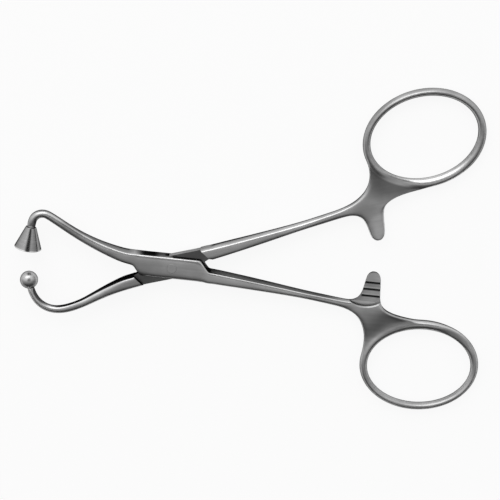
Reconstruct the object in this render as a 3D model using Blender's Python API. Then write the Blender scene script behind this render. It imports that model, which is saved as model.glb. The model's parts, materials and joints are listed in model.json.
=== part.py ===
"""Ball and socket towel clamp: two forged halves crossing in a box lock, with finger rings and a ratchet.

Metres, +Z up. The clamp lies flat: +X runs from the lock to the finger rings and +Z comes out of the
front of the lock. The origin is on the axis of the lock's pin, at the flat back of the box.

Each half is drawn closed, with the lock's long axis on X and its handle at +Y. The box half is the
mirror image of that drawing. Both are then turned to the opening that the clamp rests at.
"""
import math

import bmesh
import bpy
from mathutils import Matrix, Vector

MM = 0.001

# Opening: how far each half is turned from the drawing, and how far the lock lets the blade go.
BOX_TURN = math.radians(-6.2)
BLADE_TURN = math.radians(11.5)
CLOSING = math.radians(15.4)

# Box lock: the box is slotted, and the waisted blade of the other half passes through it.
BOX_THICK = 3.9 * MM
BOX_HALF_WIDTH = 2.75 * MM
BOX_NOSE = 7.0 * MM
BOX_CORNER = 8.7 * MM
BOX_CORNER_RISE = 0.75 * MM
BOX_CHEEK_AT = 7.85 * MM
BOX_CHEEK_OUT = 2.0 * MM
BOX_CHIN_AT = 6.65 * MM
BOX_CHAMFER_AT = 7.75 * MM
BOX_CHAMFER_OUT = 1.05 * MM
BLADE_THICK = 1.7 * MM
BLADE_HALF_WIDTH = 2.85 * MM
BLADE_STOP = 1.3 * MM
BLADE_ROOT = 9.25 * MM
BLADE_ROOT_RISE = 0.35 * MM
BLADE_FULL_TO = 7.2 * MM
SHOULDER_AT_EDGE = 7.5 * MM
SHOULDER_AT_AXIS = 9.4 * MM
LOCK_CLEARANCE = 0.08 * MM
PIN_RADIUS = 1.1 * MM
PIN_SEAT_GAP = 0.02 * MM
PIN_RUNNING_GAP = 0.05 * MM
CUTTER_OVERRUN = 4.5 * MM

# Shanks: one gentle bend from the lock to the ring, tapering in width and in thickness.
SHANK_START = (9.5 * MM, 1.5 * MM)
SHANK_HEADING = math.radians(4.6)
SHANK_LENGTH = 31.7 * MM
SHANK_BEND = math.radians(2.8)
SHANK_ROOT_WIDTH = 3.15 * MM
SHANK_WAIST_WIDTH = 1.75 * MM
SHANK_WAIST_AT = 0.68
SHANK_END_WIDTH = 1.95 * MM

# Finger rings: an oval bar, longer along the handle.
RING_LONG = 12.35 * MM
RING_SHORT = 9.45 * MM
RING_BAR = 1.8 * MM
RING_BAR_NEAR = 2.3 * MM
RING_THICK = 2.3 * MM
RING_OUT = 18.8 * MM
BOX_RING_AHEAD = 19.7 * MM
BOX_RING_LEAN = math.radians(-3.2)
BLADE_RING_AHEAD = 21.6 * MM
BLADE_RING_LEAN = math.radians(3.7)
HEEL_OUT = 10.9 * MM
HEEL_SET_BACK = 13.4 * MM
HEEL_AT = math.radians(196.0)
THROAT_AT = math.radians(262.0)
CORNER_PULL = 1.25
THROAT_PULL = 1.5
CROTCH_PULL = 1.35

# Ratchet arms: they pass each other front to back, with saw teeth on the faces that meet.
BOX_ARM_AHEAD = 6.1 * MM
BOX_ARM_REACH = 3.9 * MM
BLADE_ARM_AHEAD = 7.3 * MM
BLADE_ARM_REACH = 3.2 * MM
ARM_ROOT_WIDTH = 4.3 * MM
ARM_THROAT = 2.8 * MM
ARM_CROTCH = 1.0 * MM
ARM_TIP_WIDTH = 3.4 * MM
CROTCH_HEADING = math.radians(95.7)
ARM_GAP = 0.08 * MM
RECESS_RADIUS = 6.8 * MM
RECESS_REACH = 4.8 * MM
RECESS_ASIDE = 1.6 * MM
TOOTH_PITCH = 1.66 * MM
TOOTH_DEPTH = 0.45 * MM
TOOTH_STEEP = 0.12 * MM
TOOTH_OVERRUN = 0.09 * MM
TEETH = 3
FIRST_TOOTH = 2.75 * MM
BLADE_FIRST_TOOTH = 2.5 * MM

# Jaws: they leave the lock square and taper to round rods that hook towards each other.
JAW_START = -11.0 * MM
JAW_ROOT_WIDTH = 3.05 * MM
JAW_ROD = 1.95 * MM
JAW_TAPER_SHARE = 0.42
BALL_NECK = 1.65 * MM
BALL_NECK_SHARE = 0.5
BOX_JAW_OFFSET = -1.35 * MM
BOX_JAW_HEADING = math.radians(193.0)
BOX_JAW_LENGTH = 15.0 * MM
BOX_JAW_BEND = math.radians(16.5)
BOX_NECK_RUN = 1.25 * MM
BLADE_JAW_OFFSET = -1.75 * MM
BLADE_JAW_HEADING = math.radians(189.5)
BLADE_JAW_LENGTH = 8.0 * MM
BLADE_JAW_BEND = math.radians(8.0)
BLADE_JAW_STRAIGHT = 2.5 * MM
BLADE_JAW_SWEEP = 6.6 * MM
BLADE_JAW_SWEEP_BEND = math.radians(-17.5)
BLADE_HOOK_RADIUS = 5.9 * MM
BLADE_HOOK_BEND = math.radians(-92.0)
BLADE_NECK_RUN = 0.52 * MM

# Tips: a ball that closes into a hollow cone, both turned and let onto spigots of the jaws.
BALL_RADIUS = 2.1 * MM
CUP_HEIGHT = 5.15 * MM
CUP_RIM_RADIUS = 3.2 * MM
CUP_TOP_RADIUS = 1.22 * MM
CUP_WALL = 0.4 * MM
CUP_LIP = 0.13 * MM
CUP_LEAN = math.radians(5.0)
BALL_SEAT_DEPTH = 1.1 * MM
CUP_SPIGOT_RADIUS = 0.6 * MM
BALL_SPIGOT_RADIUS = 0.5 * MM
BALL_FLAT_RADIUS = 0.92 * MM
SPIGOT_LENGTH = 1.1 * MM
SPIGOT_ROOT = 0.4 * MM
SPIGOT_GAP = 0.04 * MM

# Edges: crisp round the box, nearly round on the rings and at the jaw tips.
BOX_EDGE = 0.28 * MM
RING_EDGE = 0.82 * MM
EDGE_STEPS = 3
ARC_STEP = math.radians(9.0)
CURVE_STEP = 2.6 * MM
RING_POINTS = 52
CIRCLE_STEPS = 32
BALL_STEPS = 16
TURNED_STEPS = 36
SPIGOT_STEPS = 20
ARM_END_STEPS = 8
CORNER_STEPS = 7
SHARP_FROM = math.radians(32.0)

MIDDLE = BOX_THICK / 2
CLOSED_TURN = BLADE_TURN - BOX_TURN - CLOSING


def clear_scene():
    for obj in list(bpy.data.objects):
        bpy.data.objects.remove(obj, do_unlink=True)


def steel(name, grey, roughness):
    material = bpy.data.materials.new(name)
    material.use_nodes = True
    shader = material.node_tree.nodes["Principled BSDF"]
    shader.inputs["Base Color"].default_value = (grey, grey, grey, 1.0)
    shader.inputs["Metallic"].default_value = 1.0
    shader.inputs["Roughness"].default_value = roughness
    return material


def new_object(name, mesh, material):
    obj = bpy.data.objects.new(name, mesh)
    bpy.context.scene.collection.objects.link(obj)
    mesh.materials.clear()
    mesh.materials.append(material)
    mesh.shade_smooth()
    mesh.set_sharp_from_angle(angle=SHARP_FROM)
    return obj


def finish_mesh(name, bm):
    bmesh.ops.recalc_face_normals(bm, faces=bm.faces)
    mesh = bpy.data.meshes.new(name)
    bm.to_mesh(mesh)
    bm.free()
    return mesh


def turned(point, angle):
    cosine, sine = math.cos(angle), math.sin(angle)
    return (point[0] * cosine - point[1] * sine, point[0] * sine + point[1] * cosine)


def along(point, heading, distance):
    return (point[0] + math.cos(heading) * distance, point[1] + math.sin(heading) * distance)


def smooth(value, low, high):
    share = min(max((value - low) / (high - low), 0.0), 1.0)
    return share * share * (3 - 2 * share)


def walk(start, heading, runs):
    """Centre line as (point, heading), each run being an arc of (length, bend)."""
    line = [(start, heading)]
    point = start
    for length, bend in runs:
        count = max(2, round(abs(bend) / ARC_STEP), round(length / CURVE_STEP))
        for _ in range(count):
            part = bend / count
            chord = length / count
            if abs(part) > 1e-9:
                chord = 2 * (length / bend) * math.sin(part / 2)
            point = along(point, heading + part / 2, chord)
            heading += part
            line.append((point, heading))
    return line


def rails(line, width_at):
    """The left and the right edge of a bar that follows the centre line."""
    left, right = [], []
    for step, (point, heading) in enumerate(line):
        half = width_at(step / (len(line) - 1)) / 2
        left.append(along(point, heading + math.pi / 2, half))
        right.append(along(point, heading - math.pi / 2, half))
    return left, right


def blend(start, start_heading, end, end_heading, pull=1.0, count=CORNER_STEPS):
    """The points between two ends of a smooth corner that leaves and arrives on the given headings."""
    reach = math.dist(start, end) * pull
    first = (math.cos(start_heading) * reach, math.sin(start_heading) * reach)
    last = (math.cos(end_heading) * reach, math.sin(end_heading) * reach)
    points = []
    for step in range(1, count):
        t = step / count
        weights = (2 * t**3 - 3 * t**2 + 1, t**3 - 2 * t**2 + t, 3 * t**2 - 2 * t**3, t**3 - t**2)
        parts = (start, first, end, last)
        points.append(tuple(sum(w * p[axis] for w, p in zip(weights, parts)) for axis in (0, 1)))
    return points


def oval(centre, long, short, lean, angle):
    """The point of an oval at the given angle, the oval's long axis leaning against the clock."""
    point = turned((long * math.cos(angle), short * math.sin(angle)), lean)
    return (centre[0] + point[0], centre[1] + point[1])


def ring_edge(centre, lean, angle):
    """Outer edge of a finger ring, whose bar is stouter on the side that faces the other handle."""
    bar = RING_BAR + (RING_BAR_NEAR - RING_BAR) * max(0.0, -math.sin(angle)) ** 2
    return oval(centre, RING_LONG + bar, RING_SHORT + bar, lean, angle)


def ring_heading(lean, angle):
    """Heading of a walk round a ring's outer edge with the clock."""
    long, short = RING_LONG + RING_BAR, RING_SHORT + RING_BAR
    return math.atan2(-short * math.cos(angle), long * math.sin(angle)) + lean


def half_thickness(x):
    jaw = smooth(-x, BOX_CORNER, -JAW_START + BOX_JAW_LENGTH)
    shank = smooth(x, SHOULDER_AT_EDGE, SHANK_START[0] + SHANK_LENGTH)
    return (BOX_THICK - (BOX_THICK - JAW_ROD) * jaw - (BOX_THICK - RING_THICK) * shank) / 2


def edge_radius(x):
    jaw = smooth(-x, BOX_CORNER, -JAW_START + BOX_JAW_LENGTH)
    shank = smooth(x, SHANK_START[0], SHANK_START[0] + SHANK_LENGTH)
    return BOX_EDGE + (RING_EDGE - BOX_EDGE) * max(jaw, shank)


def shank_width(share):
    if share < SHANK_WAIST_AT:
        return SHANK_ROOT_WIDTH + (SHANK_WAIST_WIDTH - SHANK_ROOT_WIDTH) * share / SHANK_WAIST_AT
    rest = (share - SHANK_WAIST_AT) / (1 - SHANK_WAIST_AT)
    return SHANK_WAIST_WIDTH + (SHANK_END_WIDTH - SHANK_WAIST_WIDTH) * rest


def shank_line():
    return walk(SHANK_START, SHANK_HEADING, [(SHANK_LENGTH, SHANK_BEND)])


def past_shank(ahead):
    """Place along X of what lies the given distance beyond the shank."""
    return shank_line()[-1][0][0] + ahead


def handle_outline(ring_ahead, ring_lean, arm_ahead, arm_reach):
    """Outer edge of a handle, from the lock round the ring and the ratchet arm, and back to the lock."""
    centre = (past_shank(ring_ahead), RING_OUT)
    arm_along = past_shank(arm_ahead)
    line = shank_line()
    upper, lower = rails(line, shank_width)
    shank_out = line[-1][1]

    waist = (centre[0] - HEEL_SET_BACK, HEEL_OUT)
    heel = ring_edge(centre, ring_lean, HEEL_AT)
    points = upper + blend(upper[-1], shank_out, waist, math.pi / 2, CORNER_PULL) + [waist]
    points += blend(waist, math.pi / 2, heel, ring_heading(ring_lean, HEEL_AT), count=4)
    sweep = HEEL_AT - THROAT_AT + 2 * math.pi
    count = round(RING_POINTS * sweep / (2 * math.pi))
    for step in range(count + 1):
        points.append(ring_edge(centre, ring_lean, HEEL_AT - sweep * step / count))

    right_root = (arm_along + ARM_ROOT_WIDTH / 2, ARM_THROAT)
    left_root = (arm_along - ARM_ROOT_WIDTH / 2, ARM_CROTCH)
    points += blend(points[-1], ring_heading(ring_lean, THROAT_AT), right_root, -math.pi / 2, THROAT_PULL)
    points.append(right_root)
    tip_centre = (arm_along, -arm_reach + ARM_TIP_WIDTH / 2)
    for step in range(ARM_END_STEPS + 1):
        points.append(along(tip_centre, -math.pi * step / ARM_END_STEPS, ARM_TIP_WIDTH / 2))
    points.append(left_root)
    points += blend(left_root, CROTCH_HEADING, lower[-1], shank_out + math.pi, CROTCH_PULL)
    return points + lower[::-1]


def jaw_width(share):
    taper = max(0.0, 1 - share / JAW_TAPER_SHARE) ** 1.5
    return JAW_ROD + (JAW_ROOT_WIDTH - JAW_ROD) * taper


def blade_jaw_width(share):
    return jaw_width(share) + (BALL_NECK - JAW_ROD) * smooth(share, BALL_NECK_SHARE, 1.0)


def blade_jaw_line():
    runs = [
        (BLADE_JAW_LENGTH, BLADE_JAW_BEND),
        (BLADE_JAW_STRAIGHT, 0.0),
        (BLADE_JAW_SWEEP, BLADE_JAW_SWEEP_BEND),
        (BLADE_HOOK_RADIUS * abs(BLADE_HOOK_BEND), BLADE_HOOK_BEND),
        (BLADE_NECK_RUN, 0.0),
    ]
    return walk((JAW_START, BLADE_JAW_OFFSET), BLADE_JAW_HEADING, runs)


def ball_place():
    """Centre of the ball and the heading of its neck, in the closed drawing."""
    point, heading = blade_jaw_line()[-1]
    return along(point, heading, BALL_RADIUS), heading


def cup_place():
    """Rim, top and axis heading of the cup, mirrored as the box half is drawn.

    With the clamp closed, the ball lies on the cup's axis and BALL_SEAT_DEPTH inside its mouth.
    """
    seat = turned(ball_place()[0], CLOSED_TURN)
    seat = (seat[0], -seat[1])
    upward = math.pi / 2 + CUP_LEAN
    rim = along(seat, upward, BALL_SEAT_DEPTH)
    top = along(rim, upward + math.pi, CUP_HEIGHT)
    return rim, top, upward


def box_jaw_line():
    """The jaw bends out, runs straight and hooks round to the top of the cup, wherever the cup lies."""
    first = walk((JAW_START, BOX_JAW_OFFSET), BOX_JAW_HEADING, [(BOX_JAW_LENGTH, BOX_JAW_BEND)])
    point, heading = first[-1]
    _, top, upward = cup_place()
    goal = along(top, upward, -BOX_NECK_RUN)
    goal = (goal[0] - point[0], goal[1] - point[1])
    bend = upward - heading
    run = (math.cos(heading), math.sin(heading))
    hook = walk((0.0, 0.0), heading, [(MM * abs(bend), bend)])[-1][0]
    scale = run[0] * hook[1] - run[1] * hook[0]
    straight = (goal[0] * hook[1] - goal[1] * hook[0]) / scale
    radius = (run[0] * goal[1] - run[1] * goal[0]) / scale * MM
    rest = [(straight, 0.0), (radius * abs(bend), bend), (BOX_NECK_RUN, 0.0)]
    return first + walk(point, heading, rest)[1:]


def blade_edge():
    """The blade's slanting edge, from the jaw's shoulder up to the full width beside the pin."""
    return (-BLADE_ROOT, -BLADE_ROOT_RISE), (-BLADE_STOP, BLADE_HALF_WIDTH)


def blade_outline():
    inner, outer = rails(blade_jaw_line(), blade_jaw_width)
    inner, outer = outer, inner
    low, high = blade_edge()
    points = [low, high, (BLADE_FULL_TO, BLADE_HALF_WIDTH)]
    points += handle_outline(BLADE_RING_AHEAD, BLADE_RING_LEAN, BLADE_ARM_AHEAD, BLADE_ARM_REACH)
    points += [(BLADE_ROOT, BLADE_ROOT_RISE), (BLADE_STOP, -BLADE_HALF_WIDTH)]
    points += [(-BLADE_FULL_TO, -BLADE_HALF_WIDTH)]
    return points + outer + inner[::-1]


def box_outline():
    inner, outer = rails(box_jaw_line(), jaw_width)
    inner, outer = outer, inner
    points = [(-BOX_CORNER, BOX_CORNER_RISE), (-BOX_CHEEK_AT, BOX_CHEEK_OUT)]
    points += [(-BOX_NOSE, BOX_HALF_WIDTH), (BOX_NOSE, BOX_HALF_WIDTH)]
    points += handle_outline(BOX_RING_AHEAD, BOX_RING_LEAN, BOX_ARM_AHEAD, BOX_ARM_REACH)
    points += [(BOX_CORNER, 0.0), (BOX_CHAMFER_AT, -BOX_CHAMFER_OUT)]
    points += [(BOX_CHIN_AT, -BOX_HALF_WIDTH), (-BOX_CORNER, -BOX_HALF_WIDTH)]
    return points + outer + inner[::-1]


def ring_hole(ring_ahead, ring_lean):
    centre = (past_shank(ring_ahead), RING_OUT)
    turns = [2 * math.pi * step / RING_POINTS for step in range(RING_POINTS)]
    return [oval(centre, RING_LONG, RING_SHORT, ring_lean, angle) for angle in turns]


def area(points):
    pairs = zip(points, points[1:] + points[:1])
    return sum(a[0] * b[1] - b[0] * a[1] for a, b in pairs) / 2


def into_metal(points):
    """Unit direction into the metal at each point of an edge that runs against the clock."""
    directions = []
    for before, here, after in zip(points[-1:] + points[:-1], points, points[1:] + points[:1]):
        first = Vector((here[0] - before[0], here[1] - before[1])).normalized()
        second = Vector((after[0] - here[0], after[1] - here[1])).normalized()
        middle = (first + second).normalized()
        directions.append(Vector((-middle.y, middle.x)) / max(0.75, abs(middle.dot(first))))
    return directions


def forged_blank(name, outline, hole, mirrored):
    """A bar of the given outline whose thickness and edge rounding change along X."""
    bm = bmesh.new()
    caps = {1: [], -1: []}
    heights = {}
    for points, outside in ((outline, True), (hole, False)):
        if (area(points) > 0) != outside:
            points = points[::-1]
        directions = into_metal(points)
        loops = []
        for side in (-1, 1):
            for step in range(EDGE_STEPS + 1):
                share = step if side < 0 else EDGE_STEPS - step
                angle = math.pi / 2 * share / EDGE_STEPS
                loop = []
                for point, inward in zip(points, directions):
                    radius = edge_radius(point[0])
                    place = Vector(point) + inward * radius * (1 - math.sin(angle))
                    vertex = bm.verts.new((place.x, place.y, 0.0))
                    depth = half_thickness(point[0]) - radius * (1 - math.cos(angle))
                    heights[vertex] = MIDDLE + side * depth
                    loop.append(vertex)
                loops.append(loop)
        for lower, upper in zip(loops, loops[1:]):
            for step in range(len(points)):
                after = (step + 1) % len(points)
                bm.faces.new((lower[step], lower[after], upper[after], upper[step]))
        caps[-1].append(loops[0])
        caps[1].append(loops[-1])
    for side, loops in caps.items():
        edges = []
        for loop in loops:
            edges += [bm.edges.get(pair) for pair in zip(loop, loop[1:] + loop[:1])]
        bmesh.ops.triangle_fill(bm, edges=edges, use_beauty=True, normal=(0, 0, side))
    for vertex, height in heights.items():
        vertex.co.z = height
        if mirrored:
            vertex.co.y = -vertex.co.y
    return finish_mesh(name, bm)


def prism(name, points, low, high, mirrored=False):
    bm = bmesh.new()
    sign = -1 if mirrored else 1
    verts = [bm.verts.new((x, sign * y, low)) for x, y in points]
    face = bm.faces.new(verts)
    grown = bmesh.ops.extrude_face_region(bm, geom=[face])["geom"]
    bmesh.ops.translate(bm, vec=(0, 0, high - low), verts=[v for v in grown if isinstance(v, bmesh.types.BMVert)])
    return finish_mesh(name, bm)


def circle(centre, radius, count):
    return [along(centre, 2 * math.pi * step / count, radius) for step in range(count)]


def rod(name, start, heading, length, radius, mirrored):
    """A round bar in the plane of the clamp."""
    bm = bmesh.new()
    bmesh.ops.create_cone(bm, cap_ends=True, segments=SPIGOT_STEPS, radius1=radius, radius2=radius, depth=length)
    bmesh.ops.translate(bm, vec=(0, 0, length / 2), verts=bm.verts)
    place_on_axis(bm, start, heading, mirrored)
    return finish_mesh(name, bm)


def place_on_axis(bm, start, heading, mirrored):
    """Lay a turned piece, made along +Z, into the plane of the clamp."""
    sign = -1 if mirrored else 1
    axis = Vector((math.cos(heading), sign * math.sin(heading), 0))
    turn = axis.to_track_quat("Z", "Y").to_matrix().to_4x4()
    bm.transform(Matrix.Translation((start[0], sign * start[1], MIDDLE)) @ turn)


def turned_piece(name, profile, start, heading, mirrored):
    """Spin a closed profile of (radius, length along the axis) and lay it in place."""
    bm = bmesh.new()
    loops = []
    for radius, length in profile:
        if radius == 0:
            loops.append([bm.verts.new((0, 0, length))])
            continue
        angles = [2 * math.pi * step / TURNED_STEPS for step in range(TURNED_STEPS)]
        loops.append([bm.verts.new((radius * math.cos(a), radius * math.sin(a), length)) for a in angles])
    for low, high in zip(loops, loops[1:]):
        for step in range(TURNED_STEPS):
            after = (step + 1) % TURNED_STEPS
            corners = [low[step % len(low)], low[after % len(low)], high[after % len(high)], high[step % len(high)]]
            bm.faces.new(list(dict.fromkeys(corners)))
    place_on_axis(bm, start, heading, mirrored)
    return finish_mesh(name, bm)


def cut(obj, name, mesh, operation="DIFFERENCE"):
    """Join a cutter or a boss to a half, in the half's own drawing."""
    tool = bpy.data.objects.new(name, mesh)
    bpy.context.scene.collection.objects.link(tool)
    tool.parent = obj
    tool.hide_render = True
    tool.display_type = "WIRE"
    modifier = obj.modifiers.new(name, "BOOLEAN")
    modifier.operation = operation
    modifier.solver = "EXACT"
    modifier.object = tool


def slot_outline():
    """The box's slot: its end walls follow the blade's slanting edges at the closed opening."""
    low, high = blade_edge()
    heading = math.atan2(high[1] - low[1], high[0] - low[0])
    outward = heading + math.pi / 2
    ends = []
    for point, reach in ((low, -CUTTER_OVERRUN), (high, CUTTER_OVERRUN)):
        point = along(along(point, heading, reach), outward, LOCK_CLEARANCE)
        ends.append(turned(point, CLOSED_TURN))
    return [ends[0], ends[1], (-ends[0][0], -ends[0][1]), (-ends[1][0], -ends[1][1])]


def shoulder_outline():
    """What is milled off each face of the blade, between the shoulders of its jaw and its handle."""
    lean = (SHOULDER_AT_EDGE - SHOULDER_AT_AXIS) / BOX_HALF_WIDTH
    reach = 4 * BOX_HALF_WIDTH
    top = (SHOULDER_AT_AXIS + lean * reach, reach)
    bottom = (SHOULDER_AT_AXIS - lean * reach, -reach)
    return [bottom, top, (-bottom[0], -bottom[1]), (-top[0], -top[1])]


def cut_ratchet(obj, arm_ahead, arm_reach, first_tooth, front, mirrored):
    """Mill the arm down to the middle plane with a round cutter, then cut saw teeth into that face."""
    arm_along = past_shank(arm_ahead)
    face = MIDDLE + (-ARM_GAP if front else ARM_GAP) / 2
    far = MIDDLE + (BOX_THICK if front else -BOX_THICK)
    recess_centre = (arm_along - RECESS_ASIDE, RECESS_REACH - RECESS_RADIUS)
    recess = circle(recess_centre, RECESS_RADIUS, RING_POINTS)
    cut(obj, obj.name + "_recess", prism("recess", recess, min(face, far), max(face, far), mirrored))
    depth = -TOOTH_DEPTH if front else TOOTH_DEPTH
    reach = ARM_ROOT_WIDTH
    sign = -1 if mirrored else 1
    for tooth in range(TEETH):
        crest = -arm_reach + first_tooth + tooth * TOOTH_PITCH
        over = math.copysign(TOOTH_OVERRUN, -depth)
        slope = over / depth * (TOOTH_PITCH - TOOTH_STEEP)
        corners = [
            (crest, face),
            (crest + TOOTH_STEEP, face + depth),
            (crest + TOOTH_PITCH, face),
            (crest + TOOTH_PITCH - slope, face + over),
            (crest, face + over),
        ]
        bm = bmesh.new()
        ends = []
        for side in (-1, 1):
            ends.append([bm.verts.new((arm_along + side * reach, sign * y, z)) for y, z in corners])
            bm.faces.new(ends[-1])
        for step in range(len(corners)):
            after = (step + 1) % len(corners)
            bm.faces.new((ends[0][step], ends[0][after], ends[1][after], ends[1][step]))
        cut(obj, f"{obj.name}_tooth_{tooth}", finish_mesh("tooth", bm))


def make_box_half(material):
    """The half that carries the box: jaw with the cup, slotted box, handle with teeth in front."""
    hole = ring_hole(BOX_RING_AHEAD, BOX_RING_LEAN)
    obj = new_object("box_half", forged_blank("box_half", box_outline(), hole, True), material)
    obj.rotation_euler.z = BOX_TURN
    gap = BLADE_THICK / 2 + LOCK_CLEARANCE
    cut(obj, "slot_cutter", prism("slot", slot_outline(), MIDDLE - gap, MIDDLE + gap))
    bore = circle((0, 0), PIN_RADIUS + PIN_SEAT_GAP, CIRCLE_STEPS)
    cut(obj, "box_bore", prism("bore", bore, -BOX_THICK, 2 * BOX_THICK))
    _, top, upward = cup_place()
    start = along(top, upward, -SPIGOT_ROOT)
    spigot = rod("spigot", start, upward, SPIGOT_ROOT + SPIGOT_LENGTH, CUP_SPIGOT_RADIUS, True)
    cut(obj, "cup_spigot", spigot, "UNION")
    cut_ratchet(obj, BOX_ARM_AHEAD, BOX_ARM_REACH, FIRST_TOOTH, True, True)
    return obj


def make_blade_half(material):
    """The half that passes through the box: jaw with the ball, thin blade, handle with teeth behind."""
    hole = ring_hole(BLADE_RING_AHEAD, BLADE_RING_LEAN)
    obj = new_object("blade_half", forged_blank("blade_half", blade_outline(), hole, False), material)
    obj.rotation_euler.z = BLADE_TURN
    mill = shoulder_outline()
    half = BLADE_THICK / 2
    cut(obj, "front_mill", prism("front_mill", mill, MIDDLE + half, MIDDLE + BOX_THICK))
    cut(obj, "back_mill", prism("back_mill", mill, MIDDLE - BOX_THICK, MIDDLE - half))
    bore = circle((0, 0), PIN_RADIUS + PIN_RUNNING_GAP, CIRCLE_STEPS)
    cut(obj, "blade_bore", prism("bore", bore, -BOX_THICK, 2 * BOX_THICK))
    centre, heading = ball_place()
    start = along(centre, heading, -BALL_RADIUS - SPIGOT_ROOT)
    spigot = rod("spigot", start, heading, SPIGOT_ROOT + SPIGOT_LENGTH, BALL_SPIGOT_RADIUS, False)
    cut(obj, "ball_spigot", spigot, "UNION")
    cut_ratchet(obj, BLADE_ARM_AHEAD, BLADE_ARM_REACH, BLADE_FIRST_TOOTH, False, False)
    return obj


def make_pin(material):
    """The lock's pin, riveted through the box and ground flush with both faces."""
    pin = prism("joint_pin", circle((0, 0), PIN_RADIUS, CIRCLE_STEPS), 0.0, BOX_THICK)
    obj = new_object("joint_pin", pin, material)
    obj.rotation_euler.z = BOX_TURN
    return obj


def make_cup(material):
    """The hollow cone: a thin wall with a rounded lip, and a blind bore for the jaw's spigot."""
    rim, top, upward = cup_place()
    slope = (CUP_RIM_RADIUS - CUP_TOP_RADIUS) / CUP_HEIGHT
    inside = CUP_RIM_RADIUS - CUP_WALL
    bore = CUP_SPIGOT_RADIUS + SPIGOT_GAP
    bore_end = SPIGOT_LENGTH + SPIGOT_GAP
    floor = bore_end + CUP_WALL
    profile = [
        (0.0, bore_end),
        (bore, bore_end),
        (bore, SPIGOT_GAP),
        (CUP_TOP_RADIUS - CUP_LIP, SPIGOT_GAP),
        (CUP_TOP_RADIUS, SPIGOT_GAP + CUP_LIP),
        (CUP_RIM_RADIUS - slope * CUP_LIP, CUP_HEIGHT - CUP_LIP),
        (CUP_RIM_RADIUS - CUP_LIP, CUP_HEIGHT),
        (inside + CUP_LIP, CUP_HEIGHT),
        (inside - slope * CUP_LIP, CUP_HEIGHT - CUP_LIP),
        (inside - slope * (CUP_HEIGHT - floor - CUP_WALL), floor + CUP_WALL),
        (bore, floor + CUP_LIP),
        (0.0, floor),
    ]
    obj = new_object("socket_cup", turned_piece("socket_cup", profile, top, upward, True), material)
    obj.rotation_euler.z = BOX_TURN
    return obj


def make_ball(material):
    """The ball, drilled from below for the jaw's spigot."""
    centre, heading = ball_place()
    bore = BALL_SPIGOT_RADIUS + SPIGOT_GAP
    flat_at = math.asin(BALL_FLAT_RADIUS / BALL_RADIUS)
    low = BALL_RADIUS * (1 - math.cos(flat_at)) + SPIGOT_GAP
    profile = [(0.0, SPIGOT_LENGTH + SPIGOT_GAP), (bore, SPIGOT_LENGTH + SPIGOT_GAP), (bore, low)]
    for step in range(BALL_STEPS + 1):
        angle = flat_at + (math.pi - flat_at) * step / BALL_STEPS
        height = max(low, BALL_RADIUS * (1 - math.cos(angle)))
        profile.append((BALL_RADIUS * math.sin(angle), height))
    start = along(centre, heading, -BALL_RADIUS)
    obj = new_object("ball_tip", turned_piece("ball_tip", profile, start, heading, False), material)
    obj.rotation_euler.z = BLADE_TURN
    return obj


def main():
    clear_scene()
    satin = steel("satin_steel", 0.42, 0.34)
    ground = steel("ground_steel", 0.46, 0.28)
    polished = steel("polished_steel", 0.6, 0.08)
    make_box_half(satin)
    make_blade_half(satin)
    make_pin(ground)
    make_cup(satin)
    make_ball(polished)
    bpy.context.view_layer.update()


main()
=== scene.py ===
# %% [markdown]
# # A ball and socket towel clamp
#
# This lesson dresses the solid model of a small surgical clamp. Two forged halves cross in a box lock. The
# handles end in finger rings and carry a ratchet, and the jaws end in a ball and in a hollow cone that it fits.
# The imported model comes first. It gives the place of every piece in metres and the body that each one moves with.
# The clamp lies flat, with +X towards the finger rings and +Z out of the front of the lock.

import json
import math

import bmesh
import bpy
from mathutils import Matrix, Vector

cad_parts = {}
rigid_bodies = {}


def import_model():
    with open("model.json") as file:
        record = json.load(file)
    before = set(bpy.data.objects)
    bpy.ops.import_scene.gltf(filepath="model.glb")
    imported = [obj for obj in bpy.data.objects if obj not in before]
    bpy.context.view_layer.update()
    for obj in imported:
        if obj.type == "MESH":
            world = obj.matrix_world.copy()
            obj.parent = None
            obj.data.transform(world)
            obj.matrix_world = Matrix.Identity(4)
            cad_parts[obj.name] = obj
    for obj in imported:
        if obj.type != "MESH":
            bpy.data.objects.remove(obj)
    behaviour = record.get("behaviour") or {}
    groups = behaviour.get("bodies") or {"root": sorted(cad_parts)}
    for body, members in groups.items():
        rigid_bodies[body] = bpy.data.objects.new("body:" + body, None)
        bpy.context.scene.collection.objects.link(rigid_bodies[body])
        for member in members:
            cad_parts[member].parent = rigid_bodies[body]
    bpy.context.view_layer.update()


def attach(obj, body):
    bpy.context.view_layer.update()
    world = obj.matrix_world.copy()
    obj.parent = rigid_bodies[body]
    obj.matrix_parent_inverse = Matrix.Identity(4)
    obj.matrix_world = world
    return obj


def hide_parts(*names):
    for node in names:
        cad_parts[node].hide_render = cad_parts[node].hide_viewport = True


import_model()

# %% [markdown]
# ## The camera
#
# The picture looks down on the clamp from a little above its long side, because the upper walls of the box and of
# the lower shank show and the lower walls don't. The two finger rings have the same size on the real object, and
# the lower one looks larger, so the lens is near enough for perspective to count. A camera 36 cm away and tilted
# by 19 degrees gives both rings their size at once.

# %% Set the camera
MM = 0.001
MIDDLE = 1.95 * MM
CAMERA_DISTANCE = 360 * MM
CAMERA_TILT = math.radians(19)
VIEW_CENTRE = Vector((18.16 * MM, 3.94 * MM, MIDDLE))

camera_data = bpy.data.cameras.new("camera")
camera_data.sensor_width = 36
camera_data.lens = 111.7
camera_data.clip_start = 0.01
camera = bpy.data.objects.new("camera", camera_data)
bpy.context.scene.collection.objects.link(camera)
camera.location = VIEW_CENTRE + CAMERA_DISTANCE * Vector((0, math.sin(CAMERA_TILT), math.cos(CAMERA_TILT)))
camera.rotation_euler = (-CAMERA_TILT, 0, 0)
bpy.context.scene.camera = camera
print("camera at", [round(value, 4) for value in camera.location])

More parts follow.
